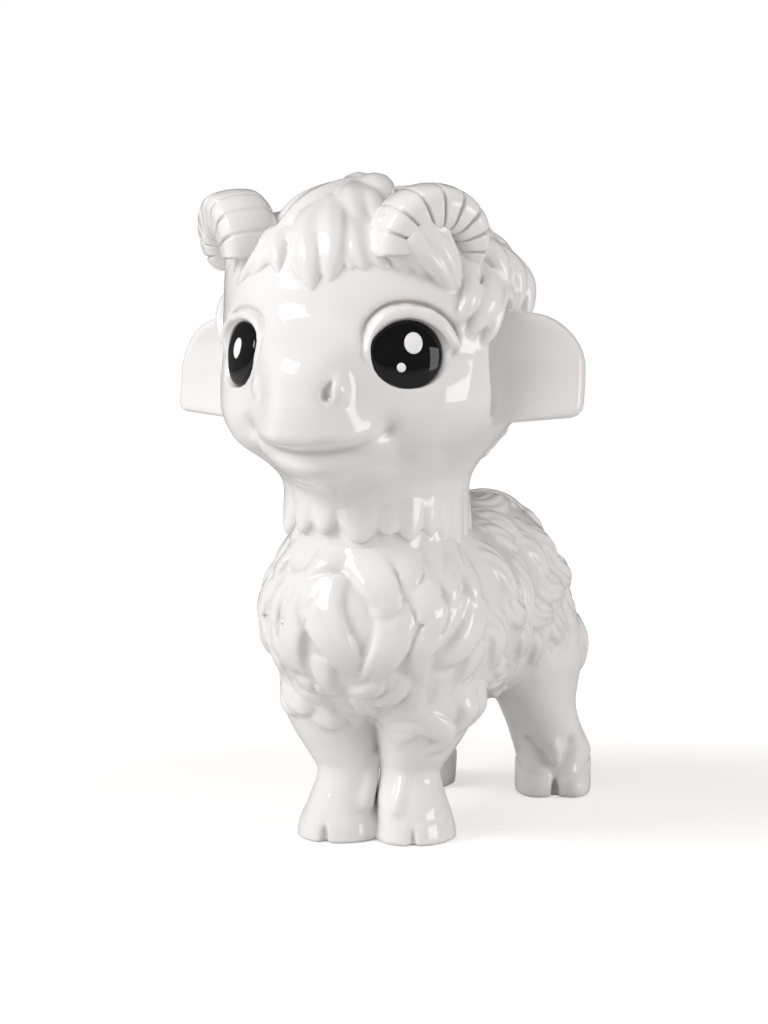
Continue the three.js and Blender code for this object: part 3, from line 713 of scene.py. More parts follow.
# How far behind the eye's middle the lid's band fades out
LID_BEHIND = (-10, -4)
FLICK_FILLET, SOCKET_EDGE = 0.8, 0.5
# The flick at the lid's outer corner: places out from and above the eye's middle, and its radii
FLICK = np.array([(4.6, 8.2), (7.4, 6.4), (9.4, 4.2), (11.0, 2.4), (12.4, 1.6)])
FLICK_RADII, FLICK_LIFT = np.array([0.8, 0.85, 0.77, 0.6, 0.2]), 0.9
SOCKET, SOCKET_SHIFT = EYE + np.array([1.2, 0.3, 0.4]), 0.4


def eye_axes(side):
    """An eye's middle on the face, and its outward, sideways (away from the nose) and upward directions."""
    centre = on_face(side * EYE_TURN, EYE_DROP)
    out = heading(FACE_TURN + side * EYE_TURN)
    return centre, out, side * np.cross(UP, out), UP


def face_turn(p):
    """Turn of places round the head, in degrees from where the face looks."""
    return np.degrees(np.arctan2(p[0] - skull[0], skull[1] - p[1])) - FACE_TURN


def hollow_at(turn, height, turn_at, height_at, spread):
    """Share of a soft dent round a place on the face, with this spread in millimetres."""
    aside = (turn - turn_at) * DEGREE_SPAN
    return np.exp(-(aside**2 + (height - height_at) ** 2) / (2 * spread**2))


def shape_mouth(block):
    """The lip that overhangs the mouth, the corners of the smile, the folds beside it and the cheeks."""
    def depth(p):
        turn, height = face_turn(p), p[2]
        outer = np.abs(turn) / MOUTH_TURN
        below = MOUTH_HEIGHT + MOUTH_RISE * outer**2 - height
        under = ease(*OVERHANG_START, below) * (1 - ease(*OVERHANG_END, below))
        lip = LIP_OVERHANG * under - LIP_SWELL * swell(below, *LIP_BAND)
        form = (1 - ease(*LIP_FADE, outer)) * lip
        form -= CHIN_SWELL * hollow_at(turn, height, 0, MOUTH_HEIGHT - CHIN_DROP, CHIN_SPREAD)
        form += (1 - ease(*LINE_FADE, outer)) * MOUTH_LINE * swell(below, *LINE_BAND)
        for side in SIDES:
            corner = hollow_at(turn, height, side * MOUTH_TURN, MOUTH_HEIGHT + MOUTH_RISE, CORNER_SPREAD)
            form += CORNER_DEPTH * corner
            for fold_turn, fold_height, share in FOLDS:
                form += share * hollow_at(turn, height, side * fold_turn, fold_height, FOLD_SPREAD)
            form -= CHEEK_SWELL * hollow_at(turn, height, side * CHEEK_TURN, CHEEK_HEIGHT, CHEEK_SPREAD)
        return form

    block.press(depth, in_face(*MOUTH_FOOT) - MOUTH_ROOM, in_face(*MOUTH_TOP) + MOUTH_ROOM)


def carve_nostrils(block):
    """A pit on each side of the nose with a raised wing beside it, fainter on the right."""
    for turn, share in NOSTRILS:
        side = math.copysign(1, turn)
        hole = on_face(turn, skull[2] - PIT_HEIGHT)
        end = on_face(turn + side * PIT_END_ASIDE, skull[2] - PIT_END)
        wing = on_face(turn + side * WING_ASIDE, skull[2] - WING_HEIGHT)
        low, high = wing - NOSTRIL_ROOM, wing + NOSTRIL_ROOM
        block.add(lambda p: ellipsoid(p, wing, share * WING), WING_FILLET, low, high)
        line = np.stack([hole - UP * PIT_BELOW, hole + UP * PIT_ABOVE, end])
        low, high = hole - NOSTRIL_ROOM, hole + NOSTRIL_ROOM
        block.carve(lambda p: tube(p, line, share * PIT_RADII), PIT_EDGE, low, high)


def shape_eyes(block):
    """Eyelids: a raised band over each eye with a fold above it, and the socket that the enamel fills."""
    for side in SIDES:
        centre, out, along, up = eye_axes(side)
        low, high = centre - EYE[0], centre + EYE[0]

        def depth(p):
            offset = offsets(p, centre)
            u = reach_along(offset, along) / (EYE[0] / 2)
            v = reach_along(offset, up) / (EYE[1] / 2)
            past = (np.sqrt(u * u + v * v) - 1) * EYE[1] / 2
            angle = np.degrees(np.arctan2(v, u))
            angle = np.where(angle < -90, angle + 360, angle)
            share = ease(*LID_START, angle) * (1 - ease(*LID_END, angle))
            share *= 1 - LID_INNER_LOSS * ease(*LID_NARROWING, angle)
            width = LID_LEAST + (LID_WIDTH[side] - LID_LEAST) * share
            band = np.sqrt(np.maximum(1 - ((past - width / 2) / (width / 2 + LID_EDGE)) ** 4, 0))
            fold = swell(past, width + FOLD_ABOVE, FOLD_WIDTH)
            front = ease(*LID_BEHIND, reach_along(offset, out))
            return front * share**LID_FADE * (LID_FOLD * fold - band) * LID_HEIGHT[side]

        block.press(depth, low, high)
        places = centre + np.outer(FLICK[:, 0], along) + np.outer(FLICK[:, 1], up)
        flick = settle(head_skin, places, FLICK_LIFT)
        block.add(lambda p: tube(p, flick, LID_HEIGHT[side] * FLICK_RADII), FLICK_FILLET, low, high)
        socket = centre + SOCKET_SHIFT * along
        block.carve(lambda p: ellipsoid(p, socket, SOCKET, (along, up, out)), SOCKET_EDGE, low, high)


# Head: wool and seats

HEAD_LOCKS = 150
HEAD_FLOW = np.array([0.0, 1.0, -1.1])
HEAD_LENGTH, HEAD_WIDTH = 15.0, 9.5
HEAD_LEAN, HEAD_SWING, HEAD_HOOK = 25.0, 38.0, 30.0
# Where head locks start: behind this far back, or high up and not too far forward, and above the nape
WOOL_BACK, WOOL_HIGH, WOOL_FORWARD, WOOL_NAPE = 4.0, 21.0, -15.0, -30.0
HEAD_WOOL = dict(depth=(0.0, 2.5), fillet=0.4, strands=2, sink=0.8, rise=1.3,
                 crease=dict(radius=0.45, edges=(LEFT,)))
TONGUE_WOOL = dict(depth=(0.0, 2.8), fillet=0.5, strands=3, sink=0.1, rise=0.3, tip=4.0)
ROOT_WOOL = dict(depth=(0.38, 0.0), fillet=0.5, strands=1, sink=0.1, rise=0.3, tip=3.2)
LEAF_WOOL = dict(depth=(0.36, 0.0), fillet=0.6, strands=1, sink=0.4, rise=0.95,
                 crease=dict(radius=0.5, lift=0.9))
TONGUE_WIDTH = 11.0
# How far the tongue and the root locks stand off the head, from their roots to their tips
TONGUE_LIFT, ROOT_LIFT = np.linspace(6.4, -0.8, LOCK_STEPS + 1), np.linspace(5.0, -0.6, LOCK_STEPS + 1)
MOUND, MOUND_BACK, MOUND_DROP = np.array([24.0, 24.0, 19.0]), 6.5, {LEFT: 1.5, RIGHT: 5.0}
MOUND_FILLET, MOUND_ROOM = 5.0, 26.0
HOLLOW, HOLLOW_PLACE = np.array([13.0, 10.0, 31.0]), np.array([37.0, -5.5, -11.0])
HOLLOW_EDGE, HOLLOW_ROOM = 2.0, 18.0


def head_wool(block):
    """Curls on the crown and the back of the head."""
    starts = shine_through(head_skin, skull, even_directions(HEAD_LOCKS, np.ones(3)))
    _, back, high = (starts - skull).T
    woolly = (back > WOOL_BACK) | ((high > WOOL_HIGH) & (back > WOOL_FORWARD))
    starts = starts[woolly & (high > WOOL_NAPE)]
    count = len(starts)
    flow = np.repeat(HEAD_FLOW[None], count, 0)
    lean = rng.uniform(-HEAD_LEAN, HEAD_LEAN, count)
    swing = HEAD_SWING * either_way(count)
    hook = rng.uniform(-HEAD_HOOK, HEAD_HOOK, count)
    locks = lay_locks(head_skin, starts, flow, np.full(count, HEAD_LENGTH), lean, swing, hook)
    grow_wool(block, "head_wool", locks, np.full(count, HEAD_WIDTH), **HEAD_WOOL)


TEMPLE_TONGUE = ((44, 29), (52, 21), (60, 11))
ROOT_LOCKS = (
    # width, then turns and elevations along the lock
    (7.0, (31, 34), (35, 26), (40, 17.5)),
    (7.0, (38, 32), (42, 24), (48, 16)),
)
# The first two leaves are on the left only
LEFT_LEAVES = 2
TEMPLE_LEAVES = (
    # width, then turns and elevations along the leaf
    (6.0, (68, 21), (63.5, 9), (57, -2)),
    (8.5, (80, 20), (72, 8), (62, -6)),
    (8.0, (90, 17), (79, 4), (68, -9)),
    (9.0, (74, 36), (82, 24), (86, 8)),
    (9.0, (88, 33), (94, 18), (92, 3)),
    (9.0, (103, 30), (104, 14), (99, -2)),
)


def on_head(stations, side=LEFT, lift=0.0):
    """A smooth line on the head through turns to one side and elevations."""
    turns, rises = through(stations, LOCK_STEPS + 1).T
    return settle(head_skin, shine_through(head_skin, skull, heading(side * turns, rises)), lift)


def first_column(rows):
    return np.array([row[0] for row in rows])


def temple_locks(block):
    """The tongue of wool from the left horn's curl, the locks at its root, and leaves behind the horns."""
    tongue = on_form(head_skin, [on_head(TEMPLE_TONGUE, LEFT, TONGUE_LIFT)])
    grow_wool(block, "temple_tongue", tongue, np.array([TONGUE_WIDTH]), **TONGUE_WOOL)
    roots = on_form(head_skin, [on_head(stations, LEFT, ROOT_LIFT) for _, *stations in ROOT_LOCKS])
    grow_wool(block, "root_locks", roots, first_column(ROOT_LOCKS), **ROOT_WOOL)
    leaves = [(LEFT, leaf) for leaf in TEMPLE_LEAVES]
    leaves += [(RIGHT, leaf) for leaf in TEMPLE_LEAVES[LEFT_LEAVES:]]
    lines = on_form(head_skin, [on_head(stations, side) for side, (_, *stations) in leaves])
    width = first_column([leaf for _, leaf in leaves])
    grow_wool(block, "temple_leaves", lines, width, **LEAF_WOOL)


def seat_horns(block):
    """The mound that each horn sits on."""
    for side in SIDES:
        centre, facing, out, up = horn_axes(side)
        middle = centre - MOUND_BACK * facing - MOUND_DROP[side] * up
        low, high = middle - MOUND_ROOM, middle + MOUND_ROOM
        block.add(lambda p: ellipsoid(p, middle, MOUND, (out, up, facing)), MOUND_FILLET, low, high)


def hollow_cheeks(block):
    """The hollow behind each cheek, that the ear's cup opens into."""
    for side in SIDES:
        middle = skull + HOLLOW_PLACE * [side, 1, 1]
        low, high = middle - HOLLOW_ROOM, middle + HOLLOW_ROOM
        block.carve(lambda p: ellipsoid(p, middle, HOLLOW), HOLLOW_EDGE, low, high)


def head():
    low = np.minimum(head_low, neck_foot - NECK_RADIUS)
    block = block_for("head", low, head_high)
    block.add(head_skin)
    block.add(neck_skin, NECK_FILLET)
    seat_horns(block)
    head_wool(block)
    temple_locks(block)
    shape_mouth(block)
    carve_nostrils(block)
    shape_eyes(block)
    hollow_cheeks(block)
    return block


# Ears

EAR_ROOT, EAR_TIP_INSET = 26.0, 1.5
EAR_THICKNESS, EAR_ROUNDING = 5.0, 1.7
EAR_FORWARD, EAR_SWEEP, EAR_CUP = 6.5, 5.5, 4.2
EAR_UPPER_CORNER, EAR_LOWER_CORNER = 10.0, 2.6
EAR_TOP_INSET, EAR_TOP_DROP = 2.4, {LEFT: 4.0, RIGHT: 7.0}
EAR_FOOT_HANG, EAR_FOOT_RISE = 2.0, 2.4
EAR_DROOP, EAR_FLATTENING = 1.5, 0.6
EAR_ROOT_SHARE, EAR_THINNING, EAR_OVERRUN = 1.2, 0.3, 1.2


def ear(side):
    low, high = corners(f"{SIDES[side]}_ear")
    tip = max(abs(low[0]), abs(high[0])) - EAR_TIP_INSET
    block = block_for("ear", low, high)

    def paddle(p):
        x, y, z = p[0] * side, p[1], p[2]
        share = np.clip((x - EAR_ROOT) / (tip - EAR_ROOT), 0, EAR_OVERRUN)
        top = high[2] - EAR_TOP_INSET - EAR_TOP_DROP[side] * share**EAR_DROOP
        bottom = low[2] - EAR_FOOT_HANG + EAR_FOOT_RISE * share
        middle = (top + bottom) / 2
        half = (top - bottom) / 2
        corner = np.where(z > middle, EAR_UPPER_CORNER, EAR_LOWER_CORNER)
        past_x, past_z = x - tip + corner, np.abs(z - middle) - half + corner
        outline = np.hypot(np.maximum(past_x, 0), np.maximum(past_z, 0)) - corner
        level = (z - middle) / np.maximum(half, 1)
        cup = EAR_CUP * (1 - level**2) * (1 - EAR_FLATTENING * share)
        bend = skull[1] - EAR_FORWARD + EAR_SWEEP * share + cup
        slab = np.abs(y - bend) - EAR_THICKNESS / 2 * (EAR_ROOT_SHARE - EAR_THINNING * share)
        a = np.maximum(outline + EAR_ROUNDING, 0)
        b = np.maximum(slab + EAR_ROUNDING, 0)
        inside = np.minimum(np.maximum(outline, slab) + EAR_ROUNDING, 0)
        return np.hypot(a, b) + inside - EAR_ROUNDING

    block.add(paddle)
    return block


# Forelock and ruff

FORELOCK_WOOL = dict(depth=(0.38, 0.0), fillet=0.3, strands=1, sink=0.1, rise=0.3, tip=3.2)
# A lock that starts on the crown, above this elevation, comes out of the head from this depth
CROWN_ELEVATION, CROWN_DEPTH, CROWN_RUN = 80.0, 4.0, 0.35
FORELOCK = (
    # width, then turns and elevations along the lock
    (10.0, (-2, 86), (-4, 76), (-6, 66)),
    (10.0, (24, 86), (27, 72), (31, 56)),
    (10.5, (0, 74), (-10, 58), (-18, 45), (-25, 33)),
    (5.0, (-15, 34), (-20, 26), (-29, 17)),
    (6.0, (-24, 37), (-34, 27), (-47, 17)),
    (5.0, (-20, 31), (-29, 23), (-39, 13.5)),
    (9.0, (-4, 74), (-18, 62), (-30, 51), (-37, 41)),
    (6.0, (-19, 36), (-18, 28), (-13, 17.5)),
    (4.0, (-9, 30), (-5, 21), (-0.5, 14.5)),
    (10.0, (-6, 52), (-6, 39), (-0.5, 25), (3.4, 10.5)),
    (10.0, (1, 52), (5, 40), (9.5, 28), (9.5, 13.5)),
    (5.0, (13, 40), (15.7, 28), (18, 18)),
    (7.0, (14, 42), (19, 29), (23, 18)),
    (5.5, (20, 42), (25, 27), (32, 18.5)),
    (9.5, (3, 70), (12, 52), (22, 34)),
    (8.0, (18, 66), (24, 52), (31, 38)),
)


def forelock():
    block = block_for("forelock", *corners("forelock"))
    sunk = -CROWN_DEPTH * (1 - ease(0, CROWN_RUN, ALONG))
    lines = []
    for _, *stations in FORELOCK:
        from_crown = stations[0][1] > CROWN_ELEVATION
        lines.append(on_head(stations, LEFT, sunk * from_crown))
    grow_wool(block, "forelock_locks", on_form(head_skin, lines), first_column(FORELOCK), **FORELOCK_WOOL)
    return block


RUFF_WOOL = dict(depth=(0.19, 0.8), fillet=0.4, strands=1, sink=0.3, rise=0.6, tip=4.5,
                 crease=dict(radius=0.7, lift=0.9))
RUFF_ABOVE, RUFF_SINK, RUFF_FOOT = 6.0, 1.6, 0.4
# How far tips stand off the neck: less at the goat's left, and more where they hang low
RUFF_STAND, RUFF_CLOSE, RUFF_HANG_STAND = 4.2, 2.4, 0.25
RUFF_TILT = 0.25
# Turns between which the tufts come close to the neck, and between which they leave it again
CLOSE_START, CLOSE_END = (45, 85), (105, 140)
RUFF = (
    # turn, width, how far the tip hangs below the ruff's foot, how far the tuft starts below its top
    (-96, 9.5, 0.0, 0), (-73, 9.5, -0.5, 0), (-50, 9.5, 0.4, 2), (-28, 8.5, -0.6, 3), (-9, 9.0, -0.8, 3),
    (15, 11.0, 1.0, 4), (33, 8.5, -0.8, 4), (46, 8.5, 0.8, 0), (61, 8.0, -0.6, 0), (74, 8.0, 2.0, 0),
    (88, 8.5, 4.5, 0), (103, 9.0, 3.5, 0), (119, 9.0, 5.0, 0), (135, 9.0, 4.0, 0), (152, 9.0, 5.5, 0),
    (168, 9.0, 4.0, 0), (185, 9.0, 5.0, 0), (202, 9.0, 4.0, 0), (219, 9.0, 4.5, 0), (236, 9.0, 3.0, 0),
    (250, 8.5, 2.0, 0),
)


def ruff():
    """A collar of tufts that hang from the neck, lifted off the chest at their tips."""
    block = block_for("ruff", ruff_low, ruff_high)
    turn, width, hang, start = np.array(RUFF, float).T
    out = heading(turn)[:, None, :]
    top, foot = ruff_high[2] + RUFF_ABOVE - start, ruff_low[2] + RUFF_FOOT - hang
    height = top[:, None] + (foot - top)[:, None] * ALONG
    at_left = ease(*CLOSE_START, turn) * (1 - ease(*CLOSE_END, turn))
    stand = RUFF_STAND - RUFF_CLOSE * at_left + RUFF_HANG_STAND * np.maximum(hang, 0)
    reach = NECK_RADIUS - RUFF_SINK + stand[:, None] * ALONG**2
    lines = neck_foot * [1, 1, 0] + reach[..., None] * out + height[..., None] * UP
    normals = unit(np.repeat(out, len(ALONG), 1) + RUFF_TILT * UP)
    grow_wool(block, "ruff_tufts", (lines, normals), width, **RUFF_WOOL)
    return block


# Legs

LEG_RINGS = 200
LEG_TOP_EDGE = 7.0
# The coronet, the rim of the hoof: its height in front, rise to the sides, width, and the step below it
CORONET_FRONT, CORONET_RISE, CORONET_WIDTH, CORONET_STEP = 5.6, 4.0, 0.8, 0.4
STEP_BLEND = (-1.4, 0.0)
HOOF_TOP = 14.0
# A toe's size, as shares of the hoof's half width and half length, and its height
TOE_ASIDE, TOE_FORWARD, TOE_LIFT = 0.5, 0.25, 2.5
TOE_WIDTH, TOE_LENGTH, TOE_HEIGHT = 1.06, 1.66, 12.0
TOE_FILLET, ROLL_FILLET, GROOVE_EDGE, CLEFT_EDGE = 1.5, 2.0, 2.4, 1.0
LINE_ROOM, HOOF_ROOM = 6.0, 5.0
LEG_WOOL = dict(depth=(0.21, 0.0), fillet=0.7, strands=1, sink=0.6, rise=0.95,
                crease=dict(radius=0.45, lift=0.5))


def leg(node, sole, stations, toe_turn, rim, cleft_size, rolls, curls, toes=(), grooves=()):
    """A leg through stations (height, sideways, backward, half width, half length), with a cloven hoof.

    Rolls, grooves and curls follow paths of turns and heights on the leg.
    """
    low, high = corners(node)
    block = block_for("leg", low, high)
    track = through(stations, LEG_RINGS)
    turn = np.radians(toe_turn)
    half_width, half_length = stations[0][3:]

    def local(p):
        x, y = p[0] - sole[0], p[1] - sole[1]
        return x * np.cos(turn) + y * np.sin(turn), y * np.cos(turn) - x * np.sin(turn), p[2]

    def limb(p):
        at = [np.interp(p[2], track[:, 0], track[:, i]) for i in range(1, 5)]
        u, v = (p[0] - at[0]) / at[2], (p[1] - at[1]) / at[3]
        near = np.sqrt(u * u + v * v)
        slope = np.sqrt((u / at[2]) ** 2 + (v / at[3]) ** 2)
        form = near * (near - 1) / np.maximum(slope, LEAST)
        return soft_max(form, p[2] - stations[-1][0], LEG_TOP_EDGE)

    def on_limb(path):
        turns, heights = through(path, LOCK_STEPS + 1).T
        core = np.stack([np.interp(heights, track[:, 0], track[:, i]) for i in (1, 2)] + [heights], 1)
        return shine_through(limb, core, heading(turns))

    def around(line):
        return line.min(0) - LINE_ROOM, line.max(0) + LINE_ROOM

    def coronet(p):
        u, v, z = local(p)
        edge = CORONET_FRONT + CORONET_RISE * np.minimum((np.degrees(np.arctan2(u, -v)) / 90) ** 2, 1)
        return rim * (swell(z, edge, CORONET_WIDTH) - CORONET_STEP * (1 - ease(*STEP_BLEND, z - edge)))

    block.add(limb)
    for toe in toes:
        place = (toe * half_width * TOE_ASIDE, -half_length * TOE_FORWARD, TOE_LIFT)
        size = (half_width * TOE_WIDTH, half_length * TOE_LENGTH, TOE_HEIGHT)
        block.add(lambda p: ellipsoid(local(p), place, size), TOE_FILLET)
    block.press(coronet, low - HOOF_ROOM, np.append(high[:2] + HOOF_ROOM, HOOF_TOP))
    for radii, *path in rolls:
        line = on_limb(path)
        girth = np.interp(ALONG, np.linspace(0, 1, len(radii)), radii)
        block.add(lambda p: tube(p, line, girth), ROLL_FILLET, *around(line))
    for radius, *path in grooves:
        line = on_limb(path)
        girth = np.full(len(line), radius)
        block.carve(lambda p: tube(p, line, girth), GROOVE_EDGE, *around(line))
    block.carve(lambda p: ellipsoid(local(p), (0, -half_length, 0.0), cleft_size), CLEFT_EDGE)
    locks = on_form(limb, [on_limb(path) for _, *path in curls])
    grow_wool(block, "leg_curls", locks, first_column(curls), **LEG_WOOL)
    return block


FRONT_SOLE_ASIDE = {LEFT: 9.2, RIGHT: -8.4}
FRONT_HOOF = {LEFT: (8.5, 10.4), RIGHT: (9.9, 11.2)}
FRONT_TOE_TURN = {LEFT: 21, RIGHT: 4}
FRONT_RIM, FRONT_CLEFT = 0.12, (1.6, 4.0, 12.0)
FRONT_ROLLS = {
    # radii along the roll, then turns and heights
    LEFT: (((0.8, 1.4, 1.3), (10, 14.5), (6, 11), (2, 8.5)),),
    RIGHT: (((0.9, 1.7, 1.9), (86, 19), (76, 14), (66, 9)),),
}
FRONT_CURLS = {
    # width, then turns and heights along the curl
    LEFT: (
        (8.0, (-30, 30), (8, 31), (45, 28), (56, 24.5), (36, 21.5)),
        (6.5, (-14, 25.5), (12, 28), (36, 26)),
        (8.0, (70, 38), (78, 32), (70, 26)),
        (8.0, (100, 40), (108, 33), (98, 27)),
        (8.0, (140, 40), (132, 33), (142, 27)),
    ),
    RIGHT: (
        (7.0, (-38, 37), (-26, 32.5), (-10, 31)),
        (7.5, (-22, 37), (-6, 33), (12, 33)),
        (7.0, (4, 33), (22, 29.5), (40, 31)),
        (7.0, (30, 37), (46, 33), (58, 27)),
    ),
}


def front_leg(side):
    x, y = FRONT_SOLE_ASIDE[side], soles[f"front_{SIDES[side]}_sole"][1]
    width, length = FRONT_HOOF[side]
    stations = (
        (0, x, y, width + 0.9, length + 0.6),
        (4, x, y, width + 0.2, length + 0.1),
        (9, side * 8.2, y, 8.3, 9.2),
        (15.5, side * 7.4, y + 0.7, 7.2, 7.4),
        (20, side * 8.5, y + 1, 8.6, 8.8),
        (24.6, side * 9.8, y + 1, 10.4, 10.6),
        (29.2, side * 10.8, y + 1, 11.8, 12.2),
        (34, side * 11.4, y + 1, 12.8, 13.2),
        (44, side * 11, y + 1, 12.3, 12.6),
    )
    return leg(
        f"front_{SIDES[side]}_leg", (x, y), stations, FRONT_TOE_TURN[side], FRONT_RIM, FRONT_CLEFT,
        rolls=FRONT_ROLLS[side], curls=FRONT_CURLS[side],
    )


REAR_TOE_TURN = 25
REAR_STRIDE = {LEFT: 0.0, RIGHT: 6.0}
REAR_RIM, REAR_CLEFT = 0.3, (2.0, 6.4, 12.0)


def rear_leg(side):
    x, y, _ = soles[f"rear_{SIDES[side]}_sole"] - [0, REAR_STRIDE[side], 0]
    stations = (
        (0, x, y, 9.2, 10.4),
        (5, x, y, 9.6, 10.8),
        (10.4, x, y, 9.9, 10.6),
        (13.5, side * 17.6, y - 1.2, 9.9, 10.4),
        (18.7, side * 16.8, y - 4.0, 9.5, 10.4),
        (24, side * 16.0, y - 6.2, 9.7, 12.0),
        (30, side * 15.7, y - 7.0, 10.6, 15.0),
        (36, side * 15.7, y - 7.5, 11.6, 17.0),
        (45, side * 15.6, y - 8.0, 11.0, 16.8),
        (54, side * 14.6, y - 10.5, 8.6, 13.0),
    )

    def toed(turn, height):
        return side * (REAR_TOE_TURN + turn), height

    grooves = (
        (0.9, toed(-34, 15), toed(-18, 10.5), toed(-4, 6.4)),
        (1.0, toed(34, 14.5), toed(19, 10.5), toed(4, 6.4)),
    )
    rolls = (((1.0, 1.7, 1.8, 1.0), toed(4, 14.5), toed(2, 11), toed(0, 7.6)),)
    curls = (
        (7.5, (side * 140, 47), (side * 136, 40), (side * 142, 31)),
        (7.5, (side * 165, 47), (side * 162, 40), (side * 157, 32)),
    )
    return leg(
        f"rear_{SIDES[side]}_leg", (x, y), stations, side * REAR_TOE_TURN, REAR_RIM, REAR_CLEFT,
        rolls=rolls, curls=curls, toes=(LEFT, RIGHT), grooves=grooves,
    )


# Tail

# Along the tail: how far behind the rump, how far above its low and high ends, and its radii
TAIL_BACK = np.array([-6.0, 2.0, 4.0])
TAIL_LIFT = np.array([3.0, 5.0, -1.0])
TAIL_RADII = np.array([4.6, 4.4, 2.0])
TAIL_LOCKS, TAIL_SPREAD, TAIL_LEAN = 8, 0.7, 0.4
TAIL_FLOW = np.array([0.0, 0.25, 1.0])
TAIL_LENGTH, TAIL_WIDTH, TAIL_SWING = 9.0, 4.4, 18.0
TAIL_WOOL = dict(depth=(0.0, 1.6), fillet=0.4, strands=1, sink=0.4, rise=0.8)


def tail():
    low, high = corners("tail")
    block = block_for("tail", low, high)
    back = rump_centre[1] + RUMP[1] / 2
    level = np.array([low[2], low[2], high[2]]) + TAIL_LIFT
    points = np.stack([0 * level, back + TAIL_BACK, level], 1)

    def core(p):
        return tube(p, points, TAIL_RADII)

    block.add(core)
    turn = np.radians(np.arange(TAIL_LOCKS) * 360 / TAIL_LOCKS)
    out = np.stack([np.cos(turn), TAIL_SPREAD * np.sin(turn) + TAIL_LEAN, 0 * turn], 1)
    starts = shine_through(core, np.repeat(points[1:2], TAIL_LOCKS, 0), out)
    flow = np.repeat(TAIL_FLOW[None], TAIL_LOCKS, 0)
    ones = np.ones(TAIL_LOCKS)
    locks = lay_locks(core, starts, flow, TAIL_LENGTH * ones, 0 * ones, TAIL_SWING * ones, 0 * ones)
    grow_wool(block, "tail_wool", locks, TAIL_WIDTH * ones, **TAIL_WOOL)
    return block


# Horns

HORN_TURN, HORN_TILT = 48.0, -8.0
HORN_PLACE = {LEFT: np.array([22.8, -17.6, 16.6]), RIGHT: np.array([-26.0, -17.6, 16.6])}
HORN_SIZES = {
    "Curl Radius": 8.7,
    "Curl Opening": 0.9,
    "Start Angle": math.radians(190),
    "Sweep": math.radians(217),
    "Rise": 1.5,
    "Root Radius": 4.1,
    "Tip Radius": 1.7,
    "Depth Ratio": 1.7,
    "Ribs": 9.0,
    "Groove Depth": 0.45,
}
HORN_RINGS, SECTION_POINTS, SECTION_ROUNDING = 360, 56, 0.6
RIB_SHARPNESS, TIP_LATENESS, CAP_LATENESS, LEAST_CAP = 30.0, 4.0, 24.0, 0.05
SIDE_GROOVE, SECTION_DOME = 0.35, 0.35
# How much painted shade darkens the rib lines on the horn's flat face, and on its sides
FACE_SHADE, SIDE_SHADE = 0.5, 0.12
FACE_EDGE, CORNER_POINTS = (0.7, 0.97), 12


